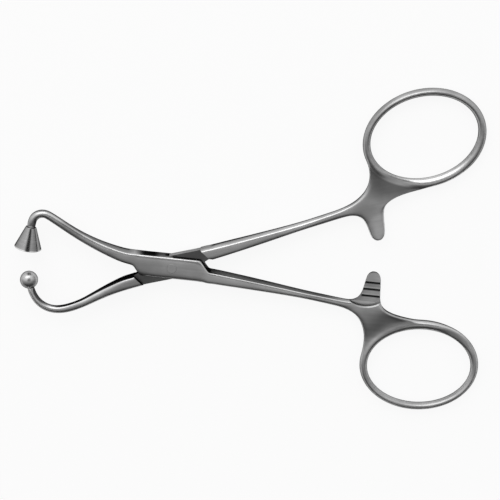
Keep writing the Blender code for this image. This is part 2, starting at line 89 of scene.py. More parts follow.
# %% [markdown]
# ## Drawing the halves
#
# A forging is drawn first as the line that runs along the middle of its bars, with a width at each point. Here
# that line is walked in straight runs and arcs, just as a draughtsman would lay it out. Each half is drawn closed,
# with the lock's long axis on X and its handle at +Y. The box half is the mirror image of its drawing, and both
# halves are then turned about the pin to the opening that the photograph shows. The bars' side walls are swelled
# outwards later, so every bar is drawn a little narrower than it will be.

# %% Walk along a line of runs and arcs
BOX_TURN = math.radians(-6.2)
BLADE_TURN = math.radians(11.5)
CLOSED_TURN = BLADE_TURN - BOX_TURN - math.radians(15.4)
SWELL_LEFT = 0.15 * MM
STEP_LENGTH = 2.4 * MM
STEP_BEND = math.radians(22)


def turned(point, angle):
    cosine, sine = math.cos(angle), math.sin(angle)
    return (point[0] * cosine - point[1] * sine, point[0] * sine + point[1] * cosine)


def along(point, heading, distance):
    return (point[0] + math.cos(heading) * distance, point[1] + math.sin(heading) * distance)


def walk(start, heading, runs, stride=STEP_LENGTH):
    """Points and headings along runs of (length, bend)."""
    line = [(start, heading)]
    point = start
    for length, bend in runs:
        count = max(1, round(length / stride), round(abs(bend) / STEP_BEND))
        for _ in range(count):
            part = bend / count
            chord = length / count
            if abs(part) > 1e-9:
                chord = 2 * (length / bend) * math.sin(part / 2)
            point = along(point, heading + part / 2, chord)
            heading += part
            line.append((point, heading))
    return line


def rows_across(line, width_at):
    """Rows of (right end, left end) square to a line."""
    rows = []
    for step, (point, heading) in enumerate(line):
        half = width_at(step / (len(line) - 1)) / 2 - SWELL_LEFT
        rows.append((along(point, heading - math.pi / 2, half), along(point, heading + math.pi / 2, half)))
    return rows


def smooth(value, low, high):
    share = min(max((value - low) / (high - low), 0.0), 1.0)
    return share * share * (3 - 2 * share)


def corner_curve(start, start_heading, end, end_heading, pull, count):
    """Points of a smooth corner between two ends, without its start and with its end."""
    reach = math.dist(start, end) * pull
    first = (math.cos(start_heading) * reach, math.sin(start_heading) * reach)
    last = (math.cos(end_heading) * reach, math.sin(end_heading) * reach)
    points = []
    for step in range(1, count + 1):
        t = step / count
        weights = (2 * t**3 - 3 * t**2 + 1, t**3 - 2 * t**2 + t, 3 * t**2 - 2 * t**3, t**3 - t**2)
        parts = list(zip(weights, (start, first, end, last)))
        points.append(tuple(sum(weight * part[axis] for weight, part in parts) for axis in (0, 1)))
    return points


# %% [markdown]
# ## Growing a sheet by hand
#
# The outline of a half is easiest to follow as a flat sheet of quads: one row of quads is laid along each bar, and
# every new row is extruded from the last and moved, turned and widened into place. A sheet keeps its quads in
# order, so a Subdivision Surface can round it later, which a solid cut from an outline would not allow.

# %% Helpers that grow the sheet
def world(point, half):
    """A point of a half's drawing, in the model's own frame."""
    x, y = turned((point[0], -point[1] if half["mirrored"] else point[1]), half["turn"])
    return Vector((x, y, MIDDLE))


def nothing_selected():
    if bpy.context.object and bpy.context.object.mode != "OBJECT":
        bpy.ops.object.mode_set(mode="OBJECT")
    bpy.ops.object.select_all(action="DESELECT")


def pick_points(obj, places, near=0.02 * MM):
    """Select the points of the open mesh that lie at the given places."""
    bpy.ops.mesh.select_all(action="DESELECT")
    mesh = bmesh.from_edit_mesh(obj.data)
    mesh.verts.index_update()
    picked = []
    for place in places:
        nearest = min(mesh.verts, key=lambda vert: (vert.co - place).length_squared)
        if (nearest.co - place).length > near:
            raise ValueError(f"no point within {near / MM} mm of {place / MM}: nearest {nearest.co / MM}")
        nearest.select = True
        picked.append(nearest.index)
    mesh.select_flush(True)
    bmesh.update_edit_mesh(obj.data)
    return picked


def lay_row(old, new):
    """Carry the selected row of points from one pair of ends to another."""
    old_middle, new_middle = (old[0] + old[1]) / 2, (new[0] + new[1]) / 2
    bpy.ops.transform.translate(value=new_middle - old_middle)
    was, now = old[1] - old[0], new[1] - new[0]
    turn = math.atan2(now.y, now.x) - math.atan2(was.y, was.x)
    bpy.ops.transform.rotate(value=-turn, orient_axis="Z", center_override=new_middle)
    bpy.ops.transform.resize(value=[now.length / was.length] * 3, center_override=new_middle)


def grow_strip(rows):
    """A new strip, two quads wide, through the given rows. It joins the mesh that is open for editing."""
    bpy.ops.mesh.primitive_grid_add(x_subdivisions=1, y_subdivisions=2, size=1, location=(0, 0, MIDDLE))
    obj = bpy.context.object
    for end, row in ((0.5, rows[1]), (-0.5, rows[0])):
        corners = (Vector((end, -0.5, MIDDLE)), Vector((end, 0.5, MIDDLE)))
        pick_points(obj, (corners[0], Vector((end, 0, MIDDLE)), corners[1]))
        lay_row(corners, row)
    pick_points(obj, (rows[1][0], (rows[1][0] + rows[1][1]) / 2, rows[1][1]))
    for old, new in zip(rows[1:], rows[2:]):
        bpy.ops.mesh.extrude_region_move()
        lay_row(old, new)


def grow_curve(obj, start, points):
    """A chain of edges from an existing point."""
    pick_points(obj, [start])
    here = start
    for point in points:
        bpy.ops.mesh.extrude_vertices_move(TRANSFORM_OT_translate={"value": point - here})
        here = point


# %% [markdown]
# ## Handles: ring, web and ratchet arm
#
# Each handle ends in an oval finger ring. A thin web joins the ring, the shank and the ratchet arm, and its edges
# run into them in smooth curves. The ring starts as a circle that is stretched and extruded outwards twice. The arm
# is a short strip. Three curves close the hole between ring, shank and arm, and Grid Fill lays quads over it. That
# keeps the web's quads in line with its neighbours, where a single many-sided face would crease. A Subdivision
# Surface pulls a ring of points inwards, so the ring is laid out a little larger, by RING_SPREAD.

# %% Values of the handles
SHANK_START = (9.5 * MM, 1.5 * MM)
SHANK_HEADING = math.radians(4.6)
SHANK_RUN = (31.7 * MM, math.radians(2.8))
SHANK_ROOT_WIDTH = 3.15 * MM
SHANK_WAIST_WIDTH = 1.75 * MM
SHANK_END_WIDTH = 1.95 * MM
SHANK_WAIST_AT = 0.68
RING_LONG = 12.33 * MM + SWELL_LEFT
RING_SHORT = 9.44 * MM + SWELL_LEFT
RING_BAR = 1.8 * MM - 2 * SWELL_LEFT
RING_NEAR_EXTRA = 0.5 * MM
RING_OUT = 18.8 * MM
RING_STEPS = 32
RING_SPREAD = 1 / (2 / 3 + math.cos(2 * math.pi / RING_STEPS) / 3)
WEB_STEPS = 6
HEEL_AT = math.radians(196)
ARM_ROOT_WIDTH = 4.3 * MM
ARM_TIP_WIDTH = 3.4 * MM
ARM_THROAT = 2.8 * MM
ARM_CROTCH = 1.0 * MM

box_side = {"mirrored": True, "turn": BOX_TURN, "ring": 60.72 * MM, "lean": math.radians(-3.2)}
box_side.update(arm=47.12 * MM, reach=3.55 * MM)
blade_side = {"mirrored": False, "turn": BLADE_TURN, "ring": 62.62 * MM, "lean": math.radians(3.7)}
blade_side.update(arm=48.32 * MM, reach=3.2 * MM)


def shank_width(share):
    """Tapers from the lock to a waist, then widens a little towards the web."""
    if share < SHANK_WAIST_AT:
        return SHANK_ROOT_WIDTH + (SHANK_WAIST_WIDTH - SHANK_ROOT_WIDTH) * share / SHANK_WAIST_AT
    past_waist = (share - SHANK_WAIST_AT) / (1 - SHANK_WAIST_AT)
    return SHANK_WAIST_WIDTH + (SHANK_END_WIDTH - SHANK_WAIST_WIDTH) * past_waist


def ring_point(half, angle, outward):
    """A point of the ring: outward is 0 on the hole's edge and 1 on the outer edge."""
    near = RING_NEAR_EXTRA / 2 * outward
    grow = RING_BAR * outward
    x = (RING_LONG + grow) * math.cos(angle) * RING_SPREAD
    y = (RING_SHORT + grow + near) * math.sin(angle) * RING_SPREAD - near
    x, y = turned((x, y), half["lean"])
    return (half["ring"] + x, RING_OUT + y)


print("shank:", SHANK_RUN[0] / MM, "mm long")
print("ring:", 2 * RING_LONG / MM, "x", 2 * RING_SHORT / MM, "mm inside")

# %% Grow the ring, the arm and the web
def grow_ring(obj, half):
    """A ring two quads wide, stretched from a circle and extruded outwards."""
    bpy.ops.mesh.select_all(action="DESELECT")
    bpy.ops.mesh.primitive_circle_add(vertices=RING_STEPS, radius=RING_SHORT, location=(0, 0, MIDDLE))
    centre = Vector((0, 0, MIDDLE))
    bpy.ops.transform.rotate(value=-(HEEL_AT - math.pi / 2), orient_axis="Z", center_override=centre)
    stretch = (RING_SPREAD * RING_LONG / RING_SHORT, RING_SPREAD, 1)
    bpy.ops.transform.resize(value=stretch, center_override=centre)
    long, short = RING_LONG, RING_SHORT
    for _ in (1, 2):
        wide, high = long + RING_BAR / 2, short + RING_BAR / 2 + RING_NEAR_EXTRA / 4
        bpy.ops.mesh.extrude_region_move()
        bpy.ops.transform.resize(value=(wide / long, high / short, 1), center_override=centre)
        centre = centre - Vector((0, RING_NEAR_EXTRA / 4, 0))
        bpy.ops.transform.translate(value=(0, -RING_NEAR_EXTRA / 4, 0))
        long, short = wide, high
    bpy.ops.mesh.select_linked()
    origin = Vector((0, 0, MIDDLE))
    bpy.ops.transform.rotate(value=-half["lean"], orient_axis="Z", center_override=origin)
    bpy.ops.transform.translate(value=(half["ring"], RING_OUT, 0))
    if half["mirrored"]:
        bpy.ops.transform.resize(value=(1, -1, 1), center_override=origin)
    bpy.ops.transform.rotate(value=-half["turn"], orient_axis="Z", center_override=origin)


def arm_rows(half):
    """Rows from the arm's root to its rounded tip."""
    left, right = half["arm"] - ARM_ROOT_WIDTH / 2, half["arm"] + ARM_ROOT_WIDTH / 2
    rows = [((left, ARM_CROTCH), (right, ARM_THROAT))]
    tip = -half["reach"]
    for share in (0.35, 0.75):
        height = ARM_CROTCH + (tip + ARM_TIP_WIDTH / 2 - ARM_CROTCH) * share
        half_width = (ARM_ROOT_WIDTH + (ARM_TIP_WIDTH - ARM_ROOT_WIDTH) * share) / 2
        slope = (ARM_THROAT - ARM_CROTCH) * (1 - share) ** 2
        rows.append(((half["arm"] - half_width, height), (half["arm"] + half_width, height + slope)))
    for above, share in ((0.5, 1.0), (0.25, 0.87), (0.09, 0.58), (0.02, 0.22)):
        half_width = ARM_TIP_WIDTH / 2 * share
        height = tip + ARM_TIP_WIDTH * above
        rows.append(((half["arm"] - half_width, height), (half["arm"] + half_width, height)))
    return rows


def smooth_inside(obj):
    """Even out the points inside the selected faces, and leave those on their rim."""
    inside = []
    for index, vert in enumerate(bmesh.from_edit_mesh(obj.data).verts):
        if not vert.is_boundary and all(face.select for face in vert.link_faces):
            inside.append(index)
    bpy.ops.mesh.select_all(action="DESELECT")
    mesh = bmesh.from_edit_mesh(obj.data)
    mesh.verts.ensure_lookup_table()
    for index in inside:
        mesh.verts[index].select = True
    bmesh.update_edit_mesh(obj.data)
    bpy.ops.mesh.vertices_smooth(factor=0.5, repeat=30)


def fill_web(obj, half, shank_end, shank_heading):
    """Close the gap between ring, shank and arm with curves, and lay a grid of quads over it."""
    step = 2 * math.pi / RING_STEPS
    arc = [ring_point(half, HEEL_AT + step * count, 1.0) for count in range(WEB_STEPS + 1)]
    crotch, throat = arm_rows(half)[0]
    lower, upper = shank_end
    short_side = WEB_STEPS - 2
    heel = corner_curve(upper, shank_heading, arc[0], math.radians(100), 1.15, short_side)
    throat_curve = corner_curve(arc[-1], math.pi + math.radians(6), throat, -math.pi / 2, 1.15, WEB_STEPS)
    crotch_curve = corner_curve(crotch, math.radians(95.7), lower, shank_heading + math.pi, 1.35, short_side)
    for start, points in ((upper, heel), (arc[-1], throat_curve), (crotch, crotch_curve)):
        grow_curve(obj, world(start, half), [world(point, half) for point in points])
    bpy.ops.mesh.select_all(action="SELECT")
    bpy.ops.mesh.remove_doubles(threshold=0.02 * MM)
    loop = arc + throat_curve + [tuple((a + b) / 2 for a, b in zip(throat, crotch)), crotch] + crotch_curve
    loop += [tuple((a + b) / 2 for a, b in zip(lower, upper)), upper] + heel[:-1]
    picked = pick_points(obj, [world(point, half) for point in loop], 0.05 * MM)
    bpy.ops.mesh.select_all(action="DESELECT")
    mesh = bmesh.from_edit_mesh(obj.data)
    mesh.verts.ensure_lookup_table()
    for one, other in zip(picked, picked[1:] + picked[:1]):
        edge = mesh.edges.get((mesh.verts[one], mesh.verts[other]))
        if edge is None:
            raise ValueError(f"the web's rim is open near {mesh.verts[one].co / MM}")
        edge.select = True
    mesh.select_history.clear()
    mesh.select_history.add(mesh.verts[picked[0]])
    bmesh.update_edit_mesh(obj.data)
    bpy.ops.mesh.fill_grid(span=WEB_STEPS, offset=0)
    smooth_inside(obj)


# %% [markdown]
# ## Jaws and lock
#
# The jaws leave the lock as square bars and run out into round rods that hook towards each other. The box is a
# plain six-sided block. The blade is waisted, so that it can swing inside the box's slot. Both are rows of the
# same strip as their jaw and shank, because the real halves are each forged from one bar.

# %% Values of the jaws
JAW_START = -11.0 * MM
JAW_ROOT_WIDTH = 3.05 * MM
JAW_ROD = 1.95 * MM
BALL_NECK = 1.65 * MM
BALL_RADIUS = 2.1 * MM
CUP_HEIGHT = 5.15 * MM
CUP_LEAN = math.radians(5)
BALL_SEAT_DEPTH = 1.1 * MM
BOX_NECK_RUN = 1.25 * MM
TIP_OVERLAP = 0.5 * MM


def jaw_width(share):
    taper = max(0.0, 1 - share / 0.42) ** 1.5
    return JAW_ROD + (JAW_ROOT_WIDTH - JAW_ROD) * taper


def blade_jaw_width(share):
    return jaw_width(share) + (BALL_NECK - JAW_ROD) * smooth(share, 0.5, 1.0)


def blade_jaw_line():
    runs = [
        (8.0 * MM, math.radians(8)),
        (2.5 * MM, 0.0),
        (6.6 * MM, math.radians(-17.5)),
        (5.9 * MM * math.radians(92), math.radians(-92)),
        (0.52 * MM, 0.0),
    ]
    return walk((JAW_START, -1.75 * MM), math.radians(189.5), runs)


def ball_place():
    point, heading = blade_jaw_line()[-1]
    return along(point, heading, BALL_RADIUS), heading


def cup_place():
    """Rim, top and heading of the cup. With the clamp closed, the ball lies on its axis, in its mouth."""
    seat = turned(ball_place()[0], CLOSED_TURN)
    upward = math.pi / 2 + CUP_LEAN
    rim = along((seat[0], -seat[1]), upward, BALL_SEAT_DEPTH)
    return rim, along(rim, upward + math.pi, CUP_HEIGHT), upward


def box_jaw_line():
    """Bend, straight run and hook, so that the hook ends on the cup's top."""
    first = walk((JAW_START, -1.35 * MM), math.radians(193), [(15.0 * MM, math.radians(16.5))])
    point, heading = first[-1]
    _, top, upward = cup_place()
    goal = along(top, upward, -BOX_NECK_RUN)
    goal = (goal[0] - point[0], goal[1] - point[1])
    bend = upward - heading
    run = (math.cos(heading), math.sin(heading))
    hook = walk((0.0, 0.0), heading, [(MM * abs(bend), bend)])[-1][0]
    scale = run[0] * hook[1] - run[1] * hook[0]
    straight = (goal[0] * hook[1] - goal[1] * hook[0]) / scale
    radius = (run[0] * goal[1] - run[1] * goal[0]) / scale * MM
    rest = [(straight, 0.0), (radius * abs(bend), bend), (BOX_NECK_RUN, 0.0)]
    return first + walk(point, heading, rest)[1:]


print("ball centre, closed drawing (mm):", [round(value / MM, 2) for value in ball_place()[0]])

# %% Rows of the two bars, from the jaw's tip to the end of the shank
BOX_ROWS = (
    ((-8.95, -2.75), (-8.95, 0.33)),
    ((-8.05, -2.75), (-8.05, 1.75)),
    ((-7.1, -2.75), (-7.2, 2.75)),
    ((0.0, -2.75), (0.0, 2.75)),
    ((6.65, -2.75), (7.0, 2.75)),
    ((7.75, -1.05), (7.9, 2.87)),
    ((8.7, 0.0), (8.75, 2.98)),
)
BLADE_ROWS = (
    ((-9.25, -3.02), (-9.25, -0.35)),
    ((-7.2, -2.85), (-7.2, 0.47)),
    ((-4.2, -2.85), (-4.2, 1.68)),
    ((-1.3, -2.85), (-1.3, 2.85)),
    ((1.3, -2.85), (1.3, 2.85)),
    ((4.2, -1.68), (4.2, 2.85)),
    ((7.2, -0.47), (7.2, 2.85)),
    ((9.25, 0.35), (8.9, 3.0)),
)


def bar_rows(jaw, width_at, lock_rows):
    """Rows of (lower end, upper end) from the jaw's tip to the end of the shank."""
    line = list(jaw)
    tip, heading = line[-1]
    line[-1] = (along(tip, heading, TIP_OVERLAP), heading)
    rows = [row[::-1] for row in rows_across(line, width_at)][::-1]
    rows += [tuple((x * MM, y * MM) for x, y in row) for row in lock_rows]
    shank = walk(SHANK_START, SHANK_HEADING, [SHANK_RUN], 3.2 * MM)
    return rows + rows_across(shank, shank_width), shank[-1][1]


# %% [markdown]
# ## From sheet to forging
#
# Solidify gives the sheet its thickness. It reads a vertex group, so the box is 3.9 mm thick, the shanks taper
# to 2.3 mm and the web is thinner still, and the points at the bars' edges get less than those at their middle.
# The Subdivision Surface then turns each bar into the soft, crowned section of a forging. Edge creases hold the
# box and the lock end of the shanks nearly square, and fade out towards the rings and the jaws' tips. The long
# edges get a weak crease, so that they stay rounded and catch a line of light, and the upright ones a strong one.
# The side walls of a forging bulge where the two dies meet. A row of points at half their height is pushed out
# for that, except at the lock, where the walls are ground flat, and at the web.

# %% Thickness, creases and smoothing
BOX_THICK = 3.9 * MM
RING_THICK = 2.3 * MM
WEB_THICK = 1.5 * MM
WALL_SWELL = 0.22 * MM
LONG_CREASE = 0.21
CORNER_CREASE = 0.55
ARM_CREASE_SHARE = 0.6
CREASE_BANDS = 24
LOCK_END = 9.5 * MM
WEB_START = 41.5 * MM


def roundness(x, y):
    """0 where a bar is square, at the lock, and 1 where it is round, at the hooks and the rings."""
    jaw = 0.35 * smooth(-x, 9 * MM, 20 * MM) + 0.65 * smooth(-x, 24 * MM, 31 * MM)
    shank = 0.35 * smooth(x, 9.5 * MM, 40 * MM) + 0.65 * smooth(x, 40 * MM, 60 * MM)
    ring = smooth(y, 6 * MM, 14 * MM)
    return max(jaw, shank, ring)


def bar_thickness(x):
    jaw = smooth(-x, 8.7 * MM, 26 * MM)
    shank = smooth(x, 7.5 * MM, 41.2 * MM)
    return BOX_THICK - (BOX_THICK - JAW_ROD) * jaw - (BOX_THICK - RING_THICK) * shank


def in_drawing(place, half):
    """Where a point of the model lies in its half's drawing."""
    x, y = turned((place.x, place.y), -half["turn"])
    return x, -y if half["mirrored"] else y


def weigh_sheet(obj, half):
    """Write each point's thickness, as a share of the box's, into a vertex group."""
    group = obj.vertex_groups.new(name="thickness")
    mesh = bmesh.new()
    mesh.from_mesh(obj.data)
    for vert in mesh.verts:
        x, y = in_drawing(vert.co, half)
        edge_share = 1 - 0.5 * roundness(x, y)
        thick = bar_thickness(x) / (2 / 3 + edge_share / 3)
        on_rim = any(edge.is_boundary for edge in vert.link_edges)
        out_x = (x - half["ring"]) / (RING_LONG + RING_BAR)
        out_y = (y - RING_OUT) / (RING_SHORT + RING_BAR)
        outward = math.hypot(out_x, out_y)
        past_ring = x > WEB_START + 0.3 * MM and outward > 0.97
        if past_ring and y < ARM_CROTCH + 0.2 * MM:
            edge_share, thick = 0.85, RING_THICK * 1.04
        elif past_ring and on_rim:
            edge_share, thick = 0.5 + 0.35 * smooth(-y, -12 * MM, -6 * MM), RING_THICK * 1.08
        elif past_ring:
            thick = WEB_THICK + (RING_THICK * 1.04 - WEB_THICK) * smooth(outward, 1.05, 1.5)
        if on_rim:
            thick *= edge_share
        group.add([vert.index], thick / BOX_THICK, "REPLACE")
    mesh.free()


def crease_edges(obj, half, strongest, upright):
    """Crease the long or the upright edges of the bars, less and less away from the lock."""
    bpy.ops.object.mode_set(mode="EDIT")
    bpy.ops.mesh.select_mode(type="EDGE")
    for band in range(CREASE_BANDS):
        bpy.ops.mesh.select_all(action="DESELECT")
        bpy.ops.mesh.edges_select_sharp(sharpness=math.radians(30))
        mesh = bmesh.from_edit_mesh(obj.data)
        for edge in mesh.edges:
            x, y = in_drawing((edge.verts[0].co + edge.verts[1].co) / 2, half)
            here = 1 - roundness(x, y)
            if x > 44.5 * MM and y < ARM_CROTCH:
                here = ARM_CREASE_SHARE
            is_upright = abs(edge.verts[0].co.z - edge.verts[1].co.z) > 0.9 * edge.calc_length()
            if is_upright != upright or not band / CREASE_BANDS < here <= (band + 1) / CREASE_BANDS:
                edge.select = False
        bmesh.update_edit_mesh(obj.data)
        bpy.ops.transform.edge_crease(value=strongest * (band + 0.5) / CREASE_BANDS)
    bpy.ops.object.mode_set(mode="OBJECT")


def swell_walls(obj, half, swell):
    """Halve the walls' height with a new row of points, and push that row outwards."""
    bpy.ops.object.mode_set(mode="EDIT")
    bpy.ops.mesh.select_mode(type="EDGE")
    bpy.ops.mesh.select_all(action="DESELECT")
    mesh = bmesh.from_edit_mesh(obj.data)
    for edge in mesh.edges:
        low, high = sorted(vert.co.z for vert in edge.verts)
        edge.select = low < MIDDLE < high
    bmesh.update_edit_mesh(obj.data)
    bpy.ops.mesh.subdivide(number_cuts=1)
    bpy.ops.mesh.select_mode(type="VERT")
    bpy.ops.mesh.select_all(action="DESELECT")
    mesh = bmesh.from_edit_mesh(obj.data)
    for vert in mesh.verts:
        x, y = in_drawing(vert.co, half)
        at_web = x > WEB_START and y < 9 * MM
        vert.select = abs(vert.co.z - MIDDLE) < 0.001 * MM and abs(x) > LOCK_END and not at_web
    bmesh.update_edit_mesh(obj.data)
    bpy.ops.transform.shrink_fatten(value=swell)
    bpy.ops.object.mode_set(mode="OBJECT")


def apply_all(obj):
    bpy.context.view_layer.objects.active = obj
    obj.select_set(True)
    for modifier in list(obj.modifiers):
        bpy.ops.object.modifier_apply(modifier=modifier.name)


def forge(name, half, jaw, width_at, lock_rows):
    """One half of the clamp as a smooth, uncut forging."""
    nothing_selected()
    rows, shank_heading = bar_rows(jaw, width_at, lock_rows)
    placed = [tuple(world(point, half) for point in row) for row in rows]
    bpy.ops.mesh.primitive_plane_add(size=MM, location=(0, 0, 0))
    obj = bpy.context.object
    obj.name = name
    bpy.ops.object.mode_set(mode="EDIT")
    bpy.ops.mesh.select_all(action="SELECT")
    bpy.ops.mesh.delete(type="VERT")
    bpy.ops.mesh.select_mode(type="VERT")
    grow_strip(placed)
    grow_strip([tuple(world(point, half) for point in row) for row in arm_rows(half)])
    grow_ring(obj, half)
    fill_web(obj, half, rows[-1], shank_heading)
    bpy.ops.mesh.select_all(action="SELECT")
    bpy.ops.mesh.normals_make_consistent(inside=False)
    bpy.ops.object.mode_set(mode="OBJECT")
    weigh_sheet(obj, half)
    solid = obj.modifiers.new("thickness", "SOLIDIFY")
    solid.thickness = BOX_THICK
    solid.offset = 0
    solid.vertex_group = "thickness"
    apply_all(obj)
    crease_edges(obj, half, LONG_CREASE, False)
    crease_edges(obj, half, CORNER_CREASE, True)
    swell_walls(obj, half, WALL_SWELL)
    round_off = obj.modifiers.new("round_off", "SUBSURF")
    round_off.levels = round_off.render_levels = 3
    apply_all(obj)
    print(name, "has", len(obj.data.polygons), "faces")
    return obj


box_forging = forge("box_forging", box_side, box_jaw_line(), jaw_width, BOX_ROWS)
blade_forging = forge("blade_forging", blade_side, blade_jaw_line(), blade_jaw_width, BLADE_ROWS)

# %% [markdown]
# ## Cutting the lock and the ratchet
#
# On the real clamp these are machine cuts in finished forgings: the slot is broached through the box, the blade is
# milled thin between two slanting shoulders, and each ratchet arm is milled down to the middle plane and toothed.
# The same cuts are made here, with Booleans on the smooth forgings, so that they stay crisp where the forging is
# soft. Each straight cutter is a flat polygon whose corners are moved into place and which is then extruded. The
# recess of a ratchet arm is the sweep of a round milling cutter, so a cylinder cuts it, and a short cone breaks
# its upper edge with the chamfer that shows as a light line.

# %% Make and use a cutter
def make_cutter(corners, sweep):
    """A straight-sided block: the polygon through the corners, extruded along a vector."""
    nothing_selected()
    bpy.ops.mesh.primitive_circle_add(vertices=len(corners), radius=MM, fill_type="NGON")
    cutter = bpy.context.object
    bpy.ops.object.mode_set(mode="EDIT")
    bpy.ops.mesh.select_mode(type="VERT")
    for index, corner in enumerate(corners):
        bpy.ops.mesh.select_all(action="DESELECT")
        mesh = bmesh.from_edit_mesh(cutter.data)
        mesh.verts.ensure_lookup_table()
        mesh.verts[index].select = True
        step = corner - mesh.verts[index].co
        bmesh.update_edit_mesh(cutter.data)
        bpy.ops.transform.translate(value=step)
    bpy.ops.mesh.select_all(action="SELECT")
    bpy.ops.mesh.extrude_region_move(TRANSFORM_OT_translate={"value": sweep})
    bpy.ops.mesh.select_all(action="SELECT")
    bpy.ops.mesh.normals_make_consistent(inside=False)
    bpy.ops.object.mode_set(mode="OBJECT")
    return cutter


def round_cutter(centre, radius, low, high):
    nothing_selected()
    place = (centre.x, centre.y, (low + high) / 2)
    bpy.ops.mesh.primitive_cylinder_add(vertices=96, radius=radius, depth=high - low, location=place)
    return bpy.context.object


def cut_away(obj, cutter):
    nothing_selected()
    carve = obj.modifiers.new("carve", "BOOLEAN")
    carve.solver = "EXACT"
    carve.object = cutter
    apply_all(obj)
    bpy.data.objects.remove(cutter, do_unlink=True)


# %% Cut the box's slot and the blade's shoulders
BLADE_THICK = 1.7 * MM
LOCK_CLEARANCE = 0.08 * MM
PIN_RADIUS = 1.1 * MM
BOX_PIN_ROOM = 0.02 * MM
BLADE_PIN_ROOM = 0.05 * MM
BLADE_EDGE = ((-9.25 * MM, -0.35 * MM), (-1.3 * MM, 2.85 * MM))
SLOT_END_REACH = 4.5 * MM
SHOULDER_AT_EDGE = 7.5 * MM
SHOULDER_AT_AXIS = 9.4 * MM
BOX_HALF_WIDTH = 2.75 * MM

low, high = BLADE_EDGE
edge_heading = math.atan2(high[1] - low[1], high[0] - low[0])
slot_ends = []
for point, reach in ((low, -SLOT_END_REACH), (high, SLOT_END_REACH)):
    moved = along(along(point, edge_heading, reach), edge_heading + math.pi / 2, LOCK_CLEARANCE)
    slot_ends.append(turned(moved, CLOSED_TURN + BOX_TURN))
slot = slot_ends + [(-x, -y) for x, y in slot_ends]
gap = BLADE_THICK / 2 + LOCK_CLEARANCE
slot_corners = [Vector((x, y, MIDDLE - gap)) for x, y in slot]
cut_away(box_forging, make_cutter(slot_corners, Vector((0, 0, 2 * gap))))

lean = (SHOULDER_AT_EDGE - SHOULDER_AT_AXIS) / BOX_HALF_WIDTH
reach = 4 * BOX_HALF_WIDTH
mill = [(SHOULDER_AT_AXIS - lean * reach, -reach), (SHOULDER_AT_AXIS + lean * reach, reach)]
mill += [(-x, -y) for x, y in mill]
for side in (1, -1):
    corners = [world(point, blade_side) + Vector((0, 0, side * BLADE_THICK / 2)) for point in mill]
    cut_away(blade_forging, make_cutter(corners, Vector((0, 0, side * BOX_THICK))))
for forging, room in ((box_forging, BOX_PIN_ROOM), (blade_forging, BLADE_PIN_ROOM)):
    cut_away(forging, round_cutter(Vector((0, 0, 0)), PIN_RADIUS + room, -BOX_THICK, 2 * BOX_THICK))
print("blade", BLADE_THICK / MM, "mm thick, in a slot of", round(2 * gap / MM, 2), "mm")

# %% Mill and tooth the ratchet arms
RECESS_RADIUS = 6.8 * MM
RECESS_TOP = 4.8 * MM
RECESS_ASIDE = 1.6 * MM
CHAMFER_START = 0.92 * MM
CHAMFER_REACH = 1.0 * MM
ARM_GAP = 0.08 * MM
TOOTH_PITCH = 1.66 * MM
TOOTH_DEPTH = 0.45 * MM
TOOTH_STEEP = 0.12 * MM
TOOTH_COUNT = 3
CUTTER_OVERRUN = 0.09 * MM


def tooth_ratchet(forging, half, side, first_tooth):
    """side is 1 where the teeth face the front and -1 where they face the back."""
    face = MIDDLE - side * ARM_GAP / 2
    centre = world((half["arm"] - RECESS_ASIDE, RECESS_TOP - RECESS_RADIUS), half)
    far = MIDDLE + side * BOX_THICK
    cut_away(forging, round_cutter(centre, RECESS_RADIUS, min(face, far), max(face, far)))
    nothing_selected()
    bpy.ops.mesh.primitive_cone_add(
        vertices=96,
        radius1=RECESS_RADIUS,
        radius2=RECESS_RADIUS + CHAMFER_REACH,
        depth=CHAMFER_REACH,
        location=(centre.x, centre.y, MIDDLE + side * (CHAMFER_START + CHAMFER_REACH / 2)),
        rotation=(0 if side > 0 else math.pi, 0, 0),
    )
    cut_away(forging, bpy.context.object)
    crests = [first_tooth + step * TOOTH_PITCH - half["reach"] for step in range(TOOTH_COUNT)]
    for crest in crests:
        profile = [
            (crest, 0.0),
            (crest + TOOTH_STEEP, -TOOTH_DEPTH),
            (crest + TOOTH_PITCH, 0.0),
            (crest + TOOTH_PITCH, CUTTER_OVERRUN),
            (crest, CUTTER_OVERRUN),
        ]
        start, end = half["arm"] - ARM_ROOT_WIDTH, half["arm"] + ARM_ROOT_WIDTH
        corners = []
        for y, rise in profile:
            corner = world((start, y), half)
            corner.z = face + side * rise
            corners.append(corner)
        sweep = world((end, 0.0), half) - world((start, 0.0), half)
        cut_away(forging, make_cutter(corners, sweep))


tooth_ratchet(box_forging, box_side, 1, 2.4 * MM)
tooth_ratchet(blade_forging, blade_side, -1, 2.5 * MM)
for forging in (box_forging, blade_forging):
    print(forging.name, "has", len(forging.data.polygons), "faces after its cuts")

# %% [markdown]
# ## Pin, cone and ball
#
# These three pieces are turned on a lathe. The pin is riveted through the lock and ground flush, so only a faint
# circle shows. The cone is drilled hollow, has a rounded lip and is brazed on the end of the box half's jaw. The
# ball closes into it. Each starts as the nearest primitive, laid on its axis, and its faces are then inset,
# extruded and bevelled, because that is how the lathe's steps follow each other too.

# %% Turn the pin
PIN_BEVEL = 0.02 * MM
PIN_RING = 0.05 * MM


def pick_faces(obj, wanted):
    """Select the faces of the open mesh that pass a test."""
    bpy.ops.mesh.select_mode(type="FACE")
    bpy.ops.mesh.select_all(action="DESELECT")
    mesh = bmesh.from_edit_mesh(obj.data)
    for face in mesh.faces:
        face.select = wanted(face)
    bmesh.update_edit_mesh(obj.data)


